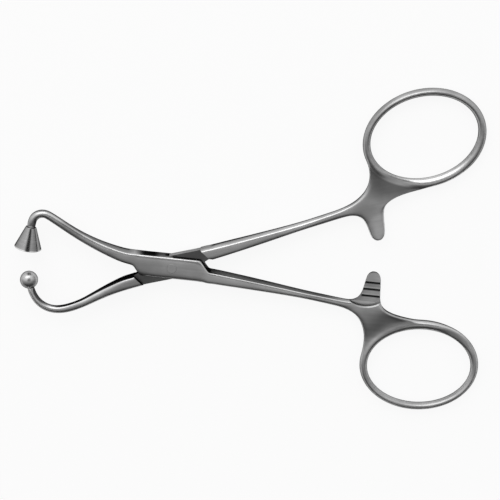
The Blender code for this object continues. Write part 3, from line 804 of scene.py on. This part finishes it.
nothing_selected()
bpy.ops.mesh.primitive_cylinder_add(vertices=64, radius=PIN_RADIUS, depth=BOX_THICK, location=(0, 0, MIDDLE))
pin = bpy.context.object
pin.name = "lock_pin"
bpy.ops.object.transform_apply(location=True, rotation=True, scale=True)
bpy.ops.object.mode_set(mode="EDIT")
pick_faces(pin, lambda face: abs(face.normal.z) > 0.9)
bpy.ops.mesh.region_to_loop()
bpy.ops.mesh.bevel(offset=PIN_BEVEL, segments=1)
pick_faces(pin, lambda face: abs(face.normal.z) > 0.99)
bpy.ops.mesh.inset(thickness=PIN_RING)
bpy.ops.object.mode_set(mode="OBJECT")
print("pin:", round(2 * PIN_RADIUS / MM, 2), "mm across,", len(pin.data.polygons), "faces")

# %% Turn the cone
CUP_RIM_RADIUS = 3.17 * MM
CUP_TOP_RADIUS = 1.22 * MM
CUP_WALL = 0.4 * MM
CUP_LIP = 0.1 * MM
CUP_LIP_STEP = 0.08 * MM
CUP_HOLLOW = 3.2 * MM
DRILL_INSET = 0.35 * MM
DRILL_TIP = 0.2 * MM
CUP_TOP_ROUND = 0.12 * MM
CUP_RIM_ROUND = 0.13 * MM
rim, top, _ = cup_place()
rim, top = world(rim, box_side), world(top, box_side)
cup_axis = (top - rim).normalized()

nothing_selected()
bpy.ops.mesh.primitive_cone_add(
    vertices=72,
    radius1=CUP_RIM_RADIUS,
    radius2=CUP_TOP_RADIUS,
    depth=CUP_HEIGHT,
    location=(rim + top) / 2,
    rotation=cup_axis.to_track_quat("Z", "Y").to_euler(),
)
cup = bpy.context.object
cup.name = "socket_cone"
bpy.ops.object.transform_apply(location=True, rotation=True, scale=True)
bpy.ops.object.mode_set(mode="EDIT")
pick_faces(cup, lambda face: face.normal.dot(cup_axis) < -0.9)
bpy.ops.mesh.inset(thickness=CUP_WALL - CUP_LIP)
bpy.ops.mesh.inset(thickness=CUP_LIP)
bpy.ops.transform.translate(value=cup_axis * CUP_LIP_STEP)
bpy.ops.mesh.extrude_region_move(TRANSFORM_OT_translate={"value": cup_axis * CUP_HOLLOW})
taper = 1 - CUP_HOLLOW * (CUP_RIM_RADIUS - CUP_TOP_RADIUS) / CUP_HEIGHT / (CUP_RIM_RADIUS - CUP_WALL)
hollow_end = rim + cup_axis * (CUP_HOLLOW + CUP_LIP_STEP)
bpy.ops.transform.resize(value=(taper,) * 3, center_override=hollow_end)
bpy.ops.mesh.inset(thickness=DRILL_INSET)
bpy.ops.transform.translate(value=cup_axis * DRILL_TIP)


def on_top(face):
    return face.normal.dot(cup_axis) > 0.9 and (face.calc_center_median() - top).length < MM


def on_lip(face):
    return face.normal.dot(cup_axis) < -0.99 and (face.calc_center_median() - rim).length > 2 * MM


for wanted, radius in ((on_top, CUP_TOP_ROUND), (on_lip, CUP_RIM_ROUND)):
    pick_faces(cup, wanted)
    bpy.ops.mesh.region_to_loop()
    bpy.ops.mesh.bevel(offset=radius, segments=3)
bpy.ops.object.mode_set(mode="OBJECT")
print("cone:", 2 * CUP_RIM_RADIUS / MM, "mm across its mouth,", CUP_HEIGHT / MM, "mm high")

# %% Turn the ball
NECK_FROM = 0.91 * BALL_RADIUS
NECK_SHRINK = 0.93
NECK_INSET = 0.04 * MM
NECK_GROOVE = 0.06 * MM
centre, heading = ball_place()
neck_end = world(along(centre, heading, -BALL_RADIUS), blade_side)
ball_centre = world(centre, blade_side)
neck_axis = (neck_end - ball_centre).normalized()

nothing_selected()
bpy.ops.mesh.primitive_uv_sphere_add(
    segments=64,
    ring_count=40,
    radius=BALL_RADIUS,
    location=ball_centre,
    rotation=neck_axis.to_track_quat("Z", "Y").to_euler(),
)
ball = bpy.context.object
ball.name = "ball"
bpy.ops.object.transform_apply(location=True, rotation=True, scale=True)
bpy.ops.object.mode_set(mode="EDIT")
pick_faces(ball, lambda face: (face.calc_center_median() - ball_centre).dot(neck_axis) > NECK_FROM)
bpy.ops.transform.resize(value=(NECK_SHRINK,) * 3, center_override=ball_centre)
bpy.ops.mesh.inset(thickness=NECK_INSET)
bpy.ops.transform.translate(value=-neck_axis * NECK_GROOVE)
bpy.ops.object.mode_set(mode="OBJECT")
print("ball:", 2 * BALL_RADIUS / MM, "mm across")

# %% [markdown]
# ## Smooth shading
#
# The forgings are soft and the machine cuts are sharp. Smooth by Angle shades across small steps and leaves the
# cuts' edges crisp. A Weighted Normal modifier then lets the large flats set the shading beside the cuts, so the
# long thin faces that a Boolean leaves don't show.

# %% Shade the pieces
pieces = [box_forging, blade_forging, pin, cup, ball]
for piece in pieces:
    nothing_selected()
    bpy.context.view_layer.objects.active = piece
    piece.select_set(True)
    bpy.ops.object.shade_smooth_by_angle(angle=math.radians(30))
    even = piece.modifiers.new("even_normals", "WEIGHTED_NORMAL")
    even.keep_sharp = True
    even.weight = 60
    apply_all(piece)
print("shaded", len(pieces), "pieces")

# %% [markdown]
# ## Writing finishes as sums
#
# A finish is a tree of shader nodes. The small class below wraps one socket, so that a plain Python expression
# adds the Math nodes it needs. Every other node comes from one method, which takes the node's type, its settings
# and what goes into its sockets. Patterns read Object coordinates in metres, so their scales are real sizes.

# %% A wire that can be added and multiplied, and the bench that makes nodes
class Wire:
    """The output of a node. Arithmetic on it adds Math nodes."""

    def __init__(self, bench, socket):
        self.bench = bench
        self.socket = socket

    def maths(self, operation, *values):
        return self.bench.node("ShaderNodeMath", {"operation": operation}, dict(enumerate(values)))

    def __add__(self, other):
        return self.maths("ADD", self, other)

    def __sub__(self, other):
        return self.maths("SUBTRACT", self, other)

    def __rsub__(self, other):
        return self.maths("SUBTRACT", other, self)

    def __mul__(self, other):
        return self.maths("MULTIPLY", self, other)

    __radd__ = __add__
    __rmul__ = __mul__

    def size(self):
        return self.maths("ABSOLUTE", self)

    def sign(self):
        return self.maths("SIGN", self)

    def or_more(self, other):
        return self.maths("MAXIMUM", self, other)

    def clipped(self, low, high):
        """0 below low, 1 above high, and a smooth step between. With low above high it falls instead."""
        if low > high:
            return 1 - self.clipped(high, low)
        step = {"interpolation_type": "SMOOTHSTEP"}
        inputs = {"Value": self, "From Min": low, "From Max": high}
        return self.bench.node("ShaderNodeMapRange", step, inputs)

    def level(self, stops):
        """A curve through (place, level) pairs."""
        low, high = stops[0][0], stops[-1][0]
        inputs = {"Value": self, "From Min": low, "From Max": high}
        where = self.bench.node("ShaderNodeMapRange", None, inputs)
        ramp = self.bench.nodes.new("ShaderNodeValToRGB")
        for index, (place, grey) in enumerate(stops):
            elements = ramp.color_ramp.elements
            stop = elements[index] if index < 2 else elements.new(1.0)
            stop.position = (place - low) / (high - low)
            stop.color = (grey, grey, grey, 1)
        self.bench.links.new(where.socket, ramp.inputs["Fac"])
        return Wire(self.bench, ramp.outputs["Color"])


class Bench:
    """Where the nodes of one material, or of the world, are put together."""

    def __init__(self, owner):
        owner.use_nodes = True
        self.owner = owner
        self.nodes = owner.node_tree.nodes
        self.links = owner.node_tree.links

    def node(self, kind, settings=None, inputs=None, output=0):
        made = self.nodes.new(kind)
        for key, value in (settings or {}).items():
            setattr(made, key, value)
        for key, value in (inputs or {}).items():
            if isinstance(value, Wire):
                self.links.new(value.socket, made.inputs[key])
            else:
                made.inputs[key].default_value = value
        return Wire(self, made.outputs[output])

    def place(self, centre=(0, 0, 0), turn=(0, 0, 0), scale=(1, 1, 1)):
        """Object coordinates from the given centre, turned and stretched."""
        here = self.node("ShaderNodeTexCoord", output="Object")
        inputs = {"Vector": here, "Location": centre, "Rotation": turn}
        centred = self.node("ShaderNodeMapping", {"vector_type": "TEXTURE"}, inputs)
        return self.node("ShaderNodeMapping", None, {"Vector": centred, "Scale": scale})

    def apart(self, vector):
        """The three parts of a vector."""
        split = self.node("ShaderNodeSeparateXYZ", None, {0: vector})
        return [Wire(self, output) for output in split.socket.node.outputs]

    def share_along(self, vector, direction):
        settings = {"operation": "DOT_PRODUCT"}
        return self.node("ShaderNodeVectorMath", settings, {0: vector, 1: direction}, "Value")

    def noise(self, where, scale, detail=2.0, rough=0.5):
        inputs = {"Vector": where, "Scale": scale, "Detail": detail, "Roughness": rough}
        return self.node("ShaderNodeTexNoise", None, inputs)

    def blend(self, share, one, other):
        return self.node("ShaderNodeMix", {"data_type": "RGBA"}, {0: share, 6: one, 7: other}, 2)

    def relief(self, height, strength, distance):
        inputs = {"Height": height, "Strength": strength, "Distance": distance}
        return self.node("ShaderNodeBump", None, inputs)

    def feed(self, shader, **sockets):
        for name, value in sockets.items():
            target = self.nodes[shader].inputs[name.replace("_", " ")]
            if isinstance(value, Wire):
                self.links.new(value.socket, target)
            else:
                target.default_value = value


def grey(level):
    return (level, level, level, 1)


EDGE_TINT = grey(0.05)

print("finishes are built with", Bench.__name__, "and", Wire.__name__)

# %% [markdown]
# ## Satin steel
#
# The forgings are stainless steel with a satin finish: bead blasting leaves a fine, even grain, and a fibre brush
# drawn along the handles leaves faint lines. The grain is isotropic noise of about 0.08 mm. The lines are
# the same noise stretched along the instrument.
#
# Where shade and dark reflections fall, the colour is painted nearly black: this is painted shade, not a finish,
# so these places stay dark under any light. Masks find them in each half's own drawing, where u runs along the
# clamp and v towards its handle. The numbers in a mask are places in the drawing, or shares of how squarely the
# surface faces a direction. Each pair of numbers is where the mask starts and where it is full.

# %% Read a half's drawing in a finish
class Drawing:
    """Where a point lies in its half's drawing, and which way its surface faces."""

    def __init__(self, steel, half):
        turn, hand = half["turn"], -1 if half["mirrored"] else 1
        facing = steel.node("ShaderNodeTexCoord", output="Normal")
        self.u, across, z = steel.apart(steel.place(turn=(0, 0, turn)))
        self.v = across * hand
        self.height = (z - MIDDLE) * hand * -1
        self.to_u = steel.share_along(facing, (math.cos(turn), math.sin(turn), 0))
        self.to_v = steel.share_along(facing, (-math.sin(turn) * hand, math.cos(turn) * hand, 0))
        self.to_far = steel.share_along(facing, (0, 1, 0))
        self.to_front = steel.share_along(facing, (0, 0, 1))
        self.to_z = self.to_front.size()
        beside = (self.u - half["ring"]) * (1 / (RING_LONG + RING_BAR))
        below = (self.v - RING_OUT) * (1 / (RING_SHORT + RING_BAR))
        self.past_ring = beside * beside + below * below


print("a finish reads its half's drawing with", Drawing.__name__)

# %% [markdown]
# ## Where shade is painted
#
# On the walls it is painted between the two halves, inside the hooks, on the lower half of each wall, on the sides
# of the rods and of the rings' near bars, and along the milled rims of the recesses. In the lock it is painted on
# the box's walls, on the blade's milled faces and on its shoulders. At the handles it is painted in the roots of
# the teeth and on the web beside the ring. A lighter painted shade dulls the rings, and the far wall of the upper
# jaw.

# %% Masks for the painted shade
def walls_painted_shade(at):
    """Painted shade: walls between the halves, inner sides of hooks, lower halves of walls, rods and recess rims.
    """
    inward = (at.u.sign() * at.to_v * -1).clipped(0.62, 0.8)
    between = inward * at.u.clipped(45 * MM, 36 * MM) * at.u.clipped(-31 * MM, -28 * MM)
    between = between * (0.8 + 0.2 * at.u.clipped(12 * MM, 6 * MM))
    hook = at.u.clipped(-27 * MM, -29 * MM) * at.to_u.clipped(0.3, 0.7) * 0.9
    under = at.to_front.clipped(0.05, -0.03) * at.to_z.clipped(0.8, 0.6)
    under = under * at.u.size().clipped(9.5 * MM, 10.5 * MM)
    ring = at.v.clipped(8 * MM, 11 * MM) * (1 - 0.7 * at.to_far.clipped(-0.1, 0.4))
    rod = at.u.clipped(-22 * MM, -28 * MM).or_more(ring) * at.to_z.clipped(0.75, 0.25)
    recess = at.u.clipped(42 * MM, 43 * MM) * at.v.clipped(6 * MM, 5.4 * MM)
    recess = recess * at.height.clipped(0.88 * MM, 0.94 * MM) * at.to_z.clipped(0.86, 0.76) * 0.55
    return between.or_more(hook).or_more(under.or_more(rod).or_more(recess) * 0.85)


def lock_painted_shade(at, is_box):
    """Painted shade on the walls of the box, or on the milled faces and the shoulders of the blade."""
    if is_box:
        walls = at.u.clipped(-9.5 * MM, -6.5 * MM) * at.u.clipped(9.6 * MM, 9.0 * MM)
        walls = walls * at.to_z.clipped(0.72, 0.6)
        return walls * (1 - 0.3 * at.u.clipped(-4.5 * MM, -2.5 * MM) * at.u.clipped(7.0 * MM, 6.0 * MM))
    milled = at.height.size().clipped(1.2 * MM, 1.1 * MM) * at.to_z.clipped(0.6, 0.8) * 0.71
    shoulder = at.to_u.size().clipped(0.5, 0.7)
    return at.u.size().clipped(10.2 * MM, 10.0 * MM) * milled.or_more(shoulder)


def toothed_arm(at):
    sides = at.u.clipped(44.6 * MM, 45.0 * MM) * at.u.clipped(51.4 * MM, 51.0 * MM)
    return sides * at.v.clipped(3.6 * MM, 3.2 * MM)


def handle_painted_shade(at, is_box):
    """Painted shade in the roots of the teeth, and on the web beside the ring."""
    roots = at.height.clipped(-0.56 * MM, -0.5 * MM) * at.height.clipped(-0.3 * MM, -0.38 * MM)
    teeth = toothed_arm(at) * roots * at.to_u.size().clipped(0.6, 0.4)
    web = at.u.clipped(38 * MM, 44 * MM) * at.v.clipped(2 * MM, 5 * MM) * at.to_z.clipped(0.5, 0.8)
    web = web * at.past_ring.clipped(2.5, 1.2)
    if is_box:
        web = web * at.past_ring.clipped(0.78, 0.95) * 0.5
        web = web * at.v.clipped(15 * MM, 11 * MM) * at.u.clipped(61 * MM, 54 * MM)
    else:
        web = web * at.past_ring.clipped(1.0, 1.12) * 0.65
    return teeth.or_more(web)


def rings_and_jaw_painted_shade(at, is_box):
    """Painted shade on the rings, more where they face the far side, on the box half's jaw and on its far wall."""
    painted_shade = at.v.clipped(8 * MM, 12 * MM) * (0.22 + 0.14 * at.to_far.clipped(0.0, 0.4))
    if is_box:
        painted_shade = painted_shade + at.u.clipped(-10 * MM, -18 * MM) * 0.2
        painted_shade = painted_shade + at.u.clipped(-8 * MM, -11 * MM) * at.to_far.clipped(0.62, 0.85) * 0.5
    return painted_shade


# The four masks of painted shade.
print("dark skin masks:", [mask.__name__ for mask in (walls_painted_shade, lock_painted_shade, handle_painted_shade, rings_and_jaw_painted_shade)])

# %% [markdown]
# ## Where light is painted
#
# The crests of the teeth carry a painted highlight, a near-white line. The two ratchet arms are painted a little
# lighter than the rest: painted light.

# %% Make the satin steel
# A painted highlight: a near-white band along the crests of the teeth.
def painted_crest_highlight(at):
    band = at.height.clipped(-0.17 * MM, -0.1 * MM) * at.height.clipped(-0.045 * MM, -0.06 * MM)
    return toothed_arm(at) * band * at.to_z


# Painted light: the ratchet arms are painted lighter than the rest.
def painted_arm_light(at):
    sides = at.u.clipped(43.5 * MM, 46 * MM) * at.u.clipped(53 * MM, 50.5 * MM)
    return sides * at.v.clipped(5 * MM, 2.5 * MM)


def satin_steel(name, half, is_box):
    steel = Bench(bpy.data.materials.new(name))
    even = steel.place()
    lengthwise = steel.place(turn=(0, 0, half["turn"]), scale=(0.035, 1.0, 1.0))
    grain = steel.noise(even, 11000, 3.0, 0.6)
    lines = steel.noise(lengthwise, 9000, 2.0, 0.55)
    clouds = steel.noise(even, 110, 3.0, 0.5)
    smears = steel.noise(lengthwise, 1100, 3.0, 0.6)
    at = Drawing(steel, half)
    # Painted shade: these masks darken the steel nearly to black where shade and dark reflections fall.
    painted_shade = walls_painted_shade(at).or_more(lock_painted_shade(at, is_box))
    painted_shade = painted_shade.or_more(handle_painted_shade(at, is_box)).or_more(rings_and_jaw_painted_shade(at, is_box))
    tone = (clouds * 0.75 + smears * 0.25).clipped(0.32, 0.68)
    brushed = steel.blend(tone, grey(0.43), grey(0.66))
    # The ratchet arms get a lighter grey, which is painted light.
    brushed = steel.blend(painted_arm_light(at), brushed, steel.blend(tone, grey(0.58), grey(0.88)))
    # The near-black grey of the painted shade.
    painted_shade_grey = steel.blend(tone, grey(0.015), grey(0.035))
    # The crests get a painted highlight, and the painted shade goes in at near black.
    colour = steel.blend(painted_crest_highlight(at) * 0.7, steel.blend(painted_shade, brushed, painted_shade_grey), grey(0.95))
    roughness = 0.26 + 0.06 * clouds + 0.06 * lines + 0.08 * painted_shade
    height = grain * 0.7 + lines * 0.4 + smears * 0.2
    relief = steel.relief(height, 0.35, 0.006 * MM)
    steel.feed("Principled BSDF", Base_Color=colour, Metallic=1.0, Roughness=roughness, Normal=relief)
    steel.feed("Principled BSDF", Specular_Tint=EDGE_TINT)
    return steel.owner


print("satin steel runs along", [round(math.degrees(half["turn"]), 1) for half in (box_side, blade_side)])

# %% [markdown]
# ## Turned, ground and polished steel
#
# A lathe leaves rings round the axis, so the cone's lines vary only along its axis and the pin's only outwards from
# its centre. The cone's rounded lip carries a painted highlight, and its inside is painted darker than the outside,
# as painted shade. The ball is polished after turning, but softly: it blurs what it mirrors, and a few hairlines
# cross it.
# Every steel here, the satin one too, has a dark edge tint. Without it, steel seen at a grazing angle would turn
# white along every outline, which the photograph doesn't show.

# %% Make the turned, ground and polished steel
def turned_steel(name, centre, axis):
    steel = Bench(bpy.data.materials.new(name))
    turn = axis.to_track_quat("Z", "Y").to_euler()
    round_axis = steel.place(tuple(centre), tuple(turn), (0.02, 0.02, 1.0))
    rings = steel.noise(round_axis, 7000, 3.0, 0.65)
    wide_rings = steel.noise(round_axis, 1500, 2.0, 0.5)
    grain = steel.noise(steel.place(), 12000, 2.0, 0.5)
    _, _, along_axis = steel.apart(steel.place(tuple(centre), tuple(turn)))
    facing = steel.node("ShaderNodeTexCoord", output="Normal")
    to_mouth = steel.share_along(facing, tuple(axis)).clipped(0.1, -0.1)
    # Painted shade: the inside of the cone is painted darker than the outside.
    inside = along_axis.clipped(CUP_HEIGHT, CUP_HEIGHT * 0.97) * to_mouth
    tone = (rings * 0.35 + wide_rings * 0.65).clipped(0.25, 0.75)
    # A painted highlight: the cone's rounded lip is painted light grey.
    painted_lip_highlight = along_axis.size().clipped(0.32 * MM, 0.22 * MM)
    turned_part = steel.blend(tone, grey(0.26), grey(0.35))
    colour = steel.blend(inside, steel.blend(painted_lip_highlight, turned_part, grey(0.65)), grey(0.2))
    height = rings * 0.9 + grain * 0.3
    roughness = 0.17 + 0.06 * rings
    relief = steel.relief(height, 0.3, 0.004 * MM)
    steel.feed("Principled BSDF", Base_Color=colour, Metallic=1.0, Roughness=roughness, Normal=relief)
    steel.feed("Principled BSDF", Specular_Tint=EDGE_TINT)
    return steel.owner


def ground_steel(name):
    steel = Bench(bpy.data.materials.new(name))
    here = steel.place()
    out = steel.node("ShaderNodeVectorMath", {"operation": "LENGTH"}, {0: here}, "Value")
    rings = steel.noise(steel.node("ShaderNodeCombineXYZ", None, {0: out}), 9000, 2.0, 0.5)
    grain = steel.noise(here, 12000, 2.0, 0.5)
    colour = steel.blend(rings.clipped(0.3, 0.7), grey(0.53), grey(0.57))
    roughness = 0.29 + 0.08 * grain
    relief = steel.relief(rings * 0.7 + grain * 0.4, 0.3, 0.005 * MM)
    steel.feed("Principled BSDF", Base_Color=colour, Metallic=1.0, Roughness=roughness, Normal=relief)
    steel.feed("Principled BSDF", Specular_Tint=EDGE_TINT)
    return steel.owner


def polished_steel(name, centre, axis):
    steel = Bench(bpy.data.materials.new(name))
    here = steel.place(tuple(centre))
    clouds = steel.noise(here, 900, 2.0, 0.5)
    hairs = steel.noise(steel.place(tuple(centre), (0.4, 0.9, 0.2), (0.03, 1.0, 1.0)), 6000, 2.0, 0.5)
    # Painted shade: the ball is painted nearly black round its neck, where it meets the rod.
    painted_neck_shade = steel.share_along(here, tuple(axis)).clipped(0.84 * BALL_RADIUS, 0.9 * BALL_RADIUS)
    polished = steel.blend(clouds.clipped(0.3, 0.7), grey(0.42), grey(0.50))
    colour = steel.blend(painted_neck_shade, polished, grey(0.08))
    roughness = 0.30 + 0.05 * clouds + 0.04 * hairs.clipped(0.55, 0.75)
    relief = steel.relief(hairs, 0.12, 0.002 * MM)
    steel.feed("Principled BSDF", Base_Color=colour, Metallic=1.0, Roughness=roughness, Normal=relief)
    steel.feed("Principled BSDF", Specular_Tint=EDGE_TINT)
    return steel.owner


finishes = {
    "box_forging": satin_steel("satin_steel_box_half", box_side, True),
    "blade_forging": satin_steel("satin_steel_blade_half", blade_side, False),
    "lock_pin": ground_steel("ground_steel"),
    "socket_cone": turned_steel("turned_steel", rim, cup_axis),
    "ball": polished_steel("polished_steel", ball_centre, neck_axis),
}
for piece in pieces:
    piece.data.materials.clear()
    piece.data.materials.append(finishes[piece.name])
print("finishes:", sorted(material.name for material in finishes.values()))

# %% [markdown]
# ## Who moves with whom
#
# The clamp has two bodies. The box half carries the pin and the cone, and the blade half carries the ball.

# %% Put the pieces on their bodies
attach(box_forging, "box_side")
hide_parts("box_half")
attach(pin, "box_side")
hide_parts("joint_pin")
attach(cup, "box_side")
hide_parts("socket_cup")
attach(blade_forging, "blade_side")
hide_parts("blade_half")
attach(ball, "blade_side")
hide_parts("ball_tip")

# %% [markdown]
# ## Floor and light
#
# A metal piece shows what is round it, so the studio is part of its look. The photograph shows white edges on the
# far side of every bar, grey faces and dark lower edges: the light stands behind the clamp, the ceiling is grey
# and the near side is dim. The cone's middle is dark, because it mirrors the camera's lens hood, so the studio is
# dark in that one direction too. The clamp rests on the cone's rim and on the two rings, so it lies a little out of
# level, and here the floor is tilted by that small angle in its place.

# %% Lay the floor
FLOOR_SIZE = 3.0
FLOOR_SHARE_GLOWING = 0.9
RINGS_REST_AT = 60 * MM
cup_low = MIDDLE - CUP_RIM_RADIUS
ring_low = MIDDLE - RING_THICK / 2
floor_tilt = math.atan2(ring_low - cup_low, RINGS_REST_AT - rim.x)
floor_height = cup_low - rim.x * math.tan(floor_tilt) - 0.02 * MM
nothing_selected()
middle = (0, 0, floor_height)
bpy.ops.mesh.primitive_grid_add(x_subdivisions=8, y_subdivisions=8, size=FLOOR_SIZE, location=middle)
floor = bpy.context.object
floor.name = "floor"
bpy.ops.object.transform_apply(location=True, rotation=True, scale=True)
bpy.ops.object.mode_set(mode="EDIT")
bpy.ops.mesh.select_all(action="SELECT")
bpy.ops.transform.rotate(value=floor_tilt, orient_axis="Y", center_override=middle)
bpy.ops.object.mode_set(mode="OBJECT")
slope = [vert.co.z for vert in floor.data.vertices if vert.co.x > 1.4]
print("floor: tilted", round(math.degrees(floor_tilt), 2), "degrees, its far end at", round(slope[0], 4), "m")

paper = Bench(bpy.data.materials.new("white_paper"))
paper.feed("Principled BSDF", Base_Color=grey(0.95), Roughness=0.9, Specular_IOR_Level=0.1)
seen = paper.node("ShaderNodeLightPath", output="Is Camera Ray")
seen = seen + paper.node("ShaderNodeLightPath", output="Is Glossy Ray")
seen = seen + paper.node("ShaderNodeLightPath", output="Is Transmission Ray")
glow = paper.node("ShaderNodeEmission", None, {"Color": grey(1.0), "Strength": 1.0})
lit = Wire(paper, paper.nodes["Principled BSDF"].outputs[0])
mixed = paper.node("ShaderNodeMixShader", None, {0: seen * FLOOR_SHARE_GLOWING, 1: lit, 2: glow})
paper.links.new(mixed.socket, paper.nodes["Material Output"].inputs["Surface"])
floor.data.materials.append(paper.owner)

# %% Light the studio
NEAR_TO_FAR = ((-1.0, 0.02), (-0.75, 0.05), (-0.5, 0.25), (-0.33, 0.48), (-0.1, 0.62), (0.1, 1.25))
NEAR_TO_FAR += ((0.45, 1.5), (1.0, 1.5))
LEFT_TO_RIGHT = ((-1.0, 0.75), (-0.4, 0.85), (-0.12, 0.75), (0.0, 1.0), (1.0, 0.5))
HOOD_DARK = math.radians(8)
HOOD_OPEN = math.radians(26)
HOOD_LEVEL = 0.02
room = bpy.data.worlds.new("studio")
bpy.context.scene.world = room
walls = Bench(room)
direction = walls.node("ShaderNodeTexCoord", output="Generated")
to_x, to_y, _ = walls.apart(direction)
depth = to_y.level(NEAR_TO_FAR)
side = to_x.level(LEFT_TO_RIGHT)
to_camera = tuple((camera.location - rim).normalized())
lens_hood = walls.share_along(direction, to_camera).clipped(math.cos(HOOD_DARK), math.cos(HOOD_OPEN))
hooded = HOOD_LEVEL + (1 - HOOD_LEVEL) * lens_hood
walls.feed("Background", Color=depth * side * hooded, Strength=1.0)

key = bpy.data.lights.new("key", "AREA")
key.shape = "RECTANGLE"
key.size, key.size_y = 0.6, 0.3
key.energy = 1.2
key_light = bpy.data.objects.new("key", key)
bpy.context.scene.collection.objects.link(key_light)
key_light.location = (-0.15, 0.55, 0.4)
key_light.rotation_euler = (key_light.location - VIEW_CENTRE).to_track_quat("Z", "Y").to_euler()
bpy.context.scene.view_settings.view_transform = "Standard"
print("lights:", key_light.name, "and the studio's walls")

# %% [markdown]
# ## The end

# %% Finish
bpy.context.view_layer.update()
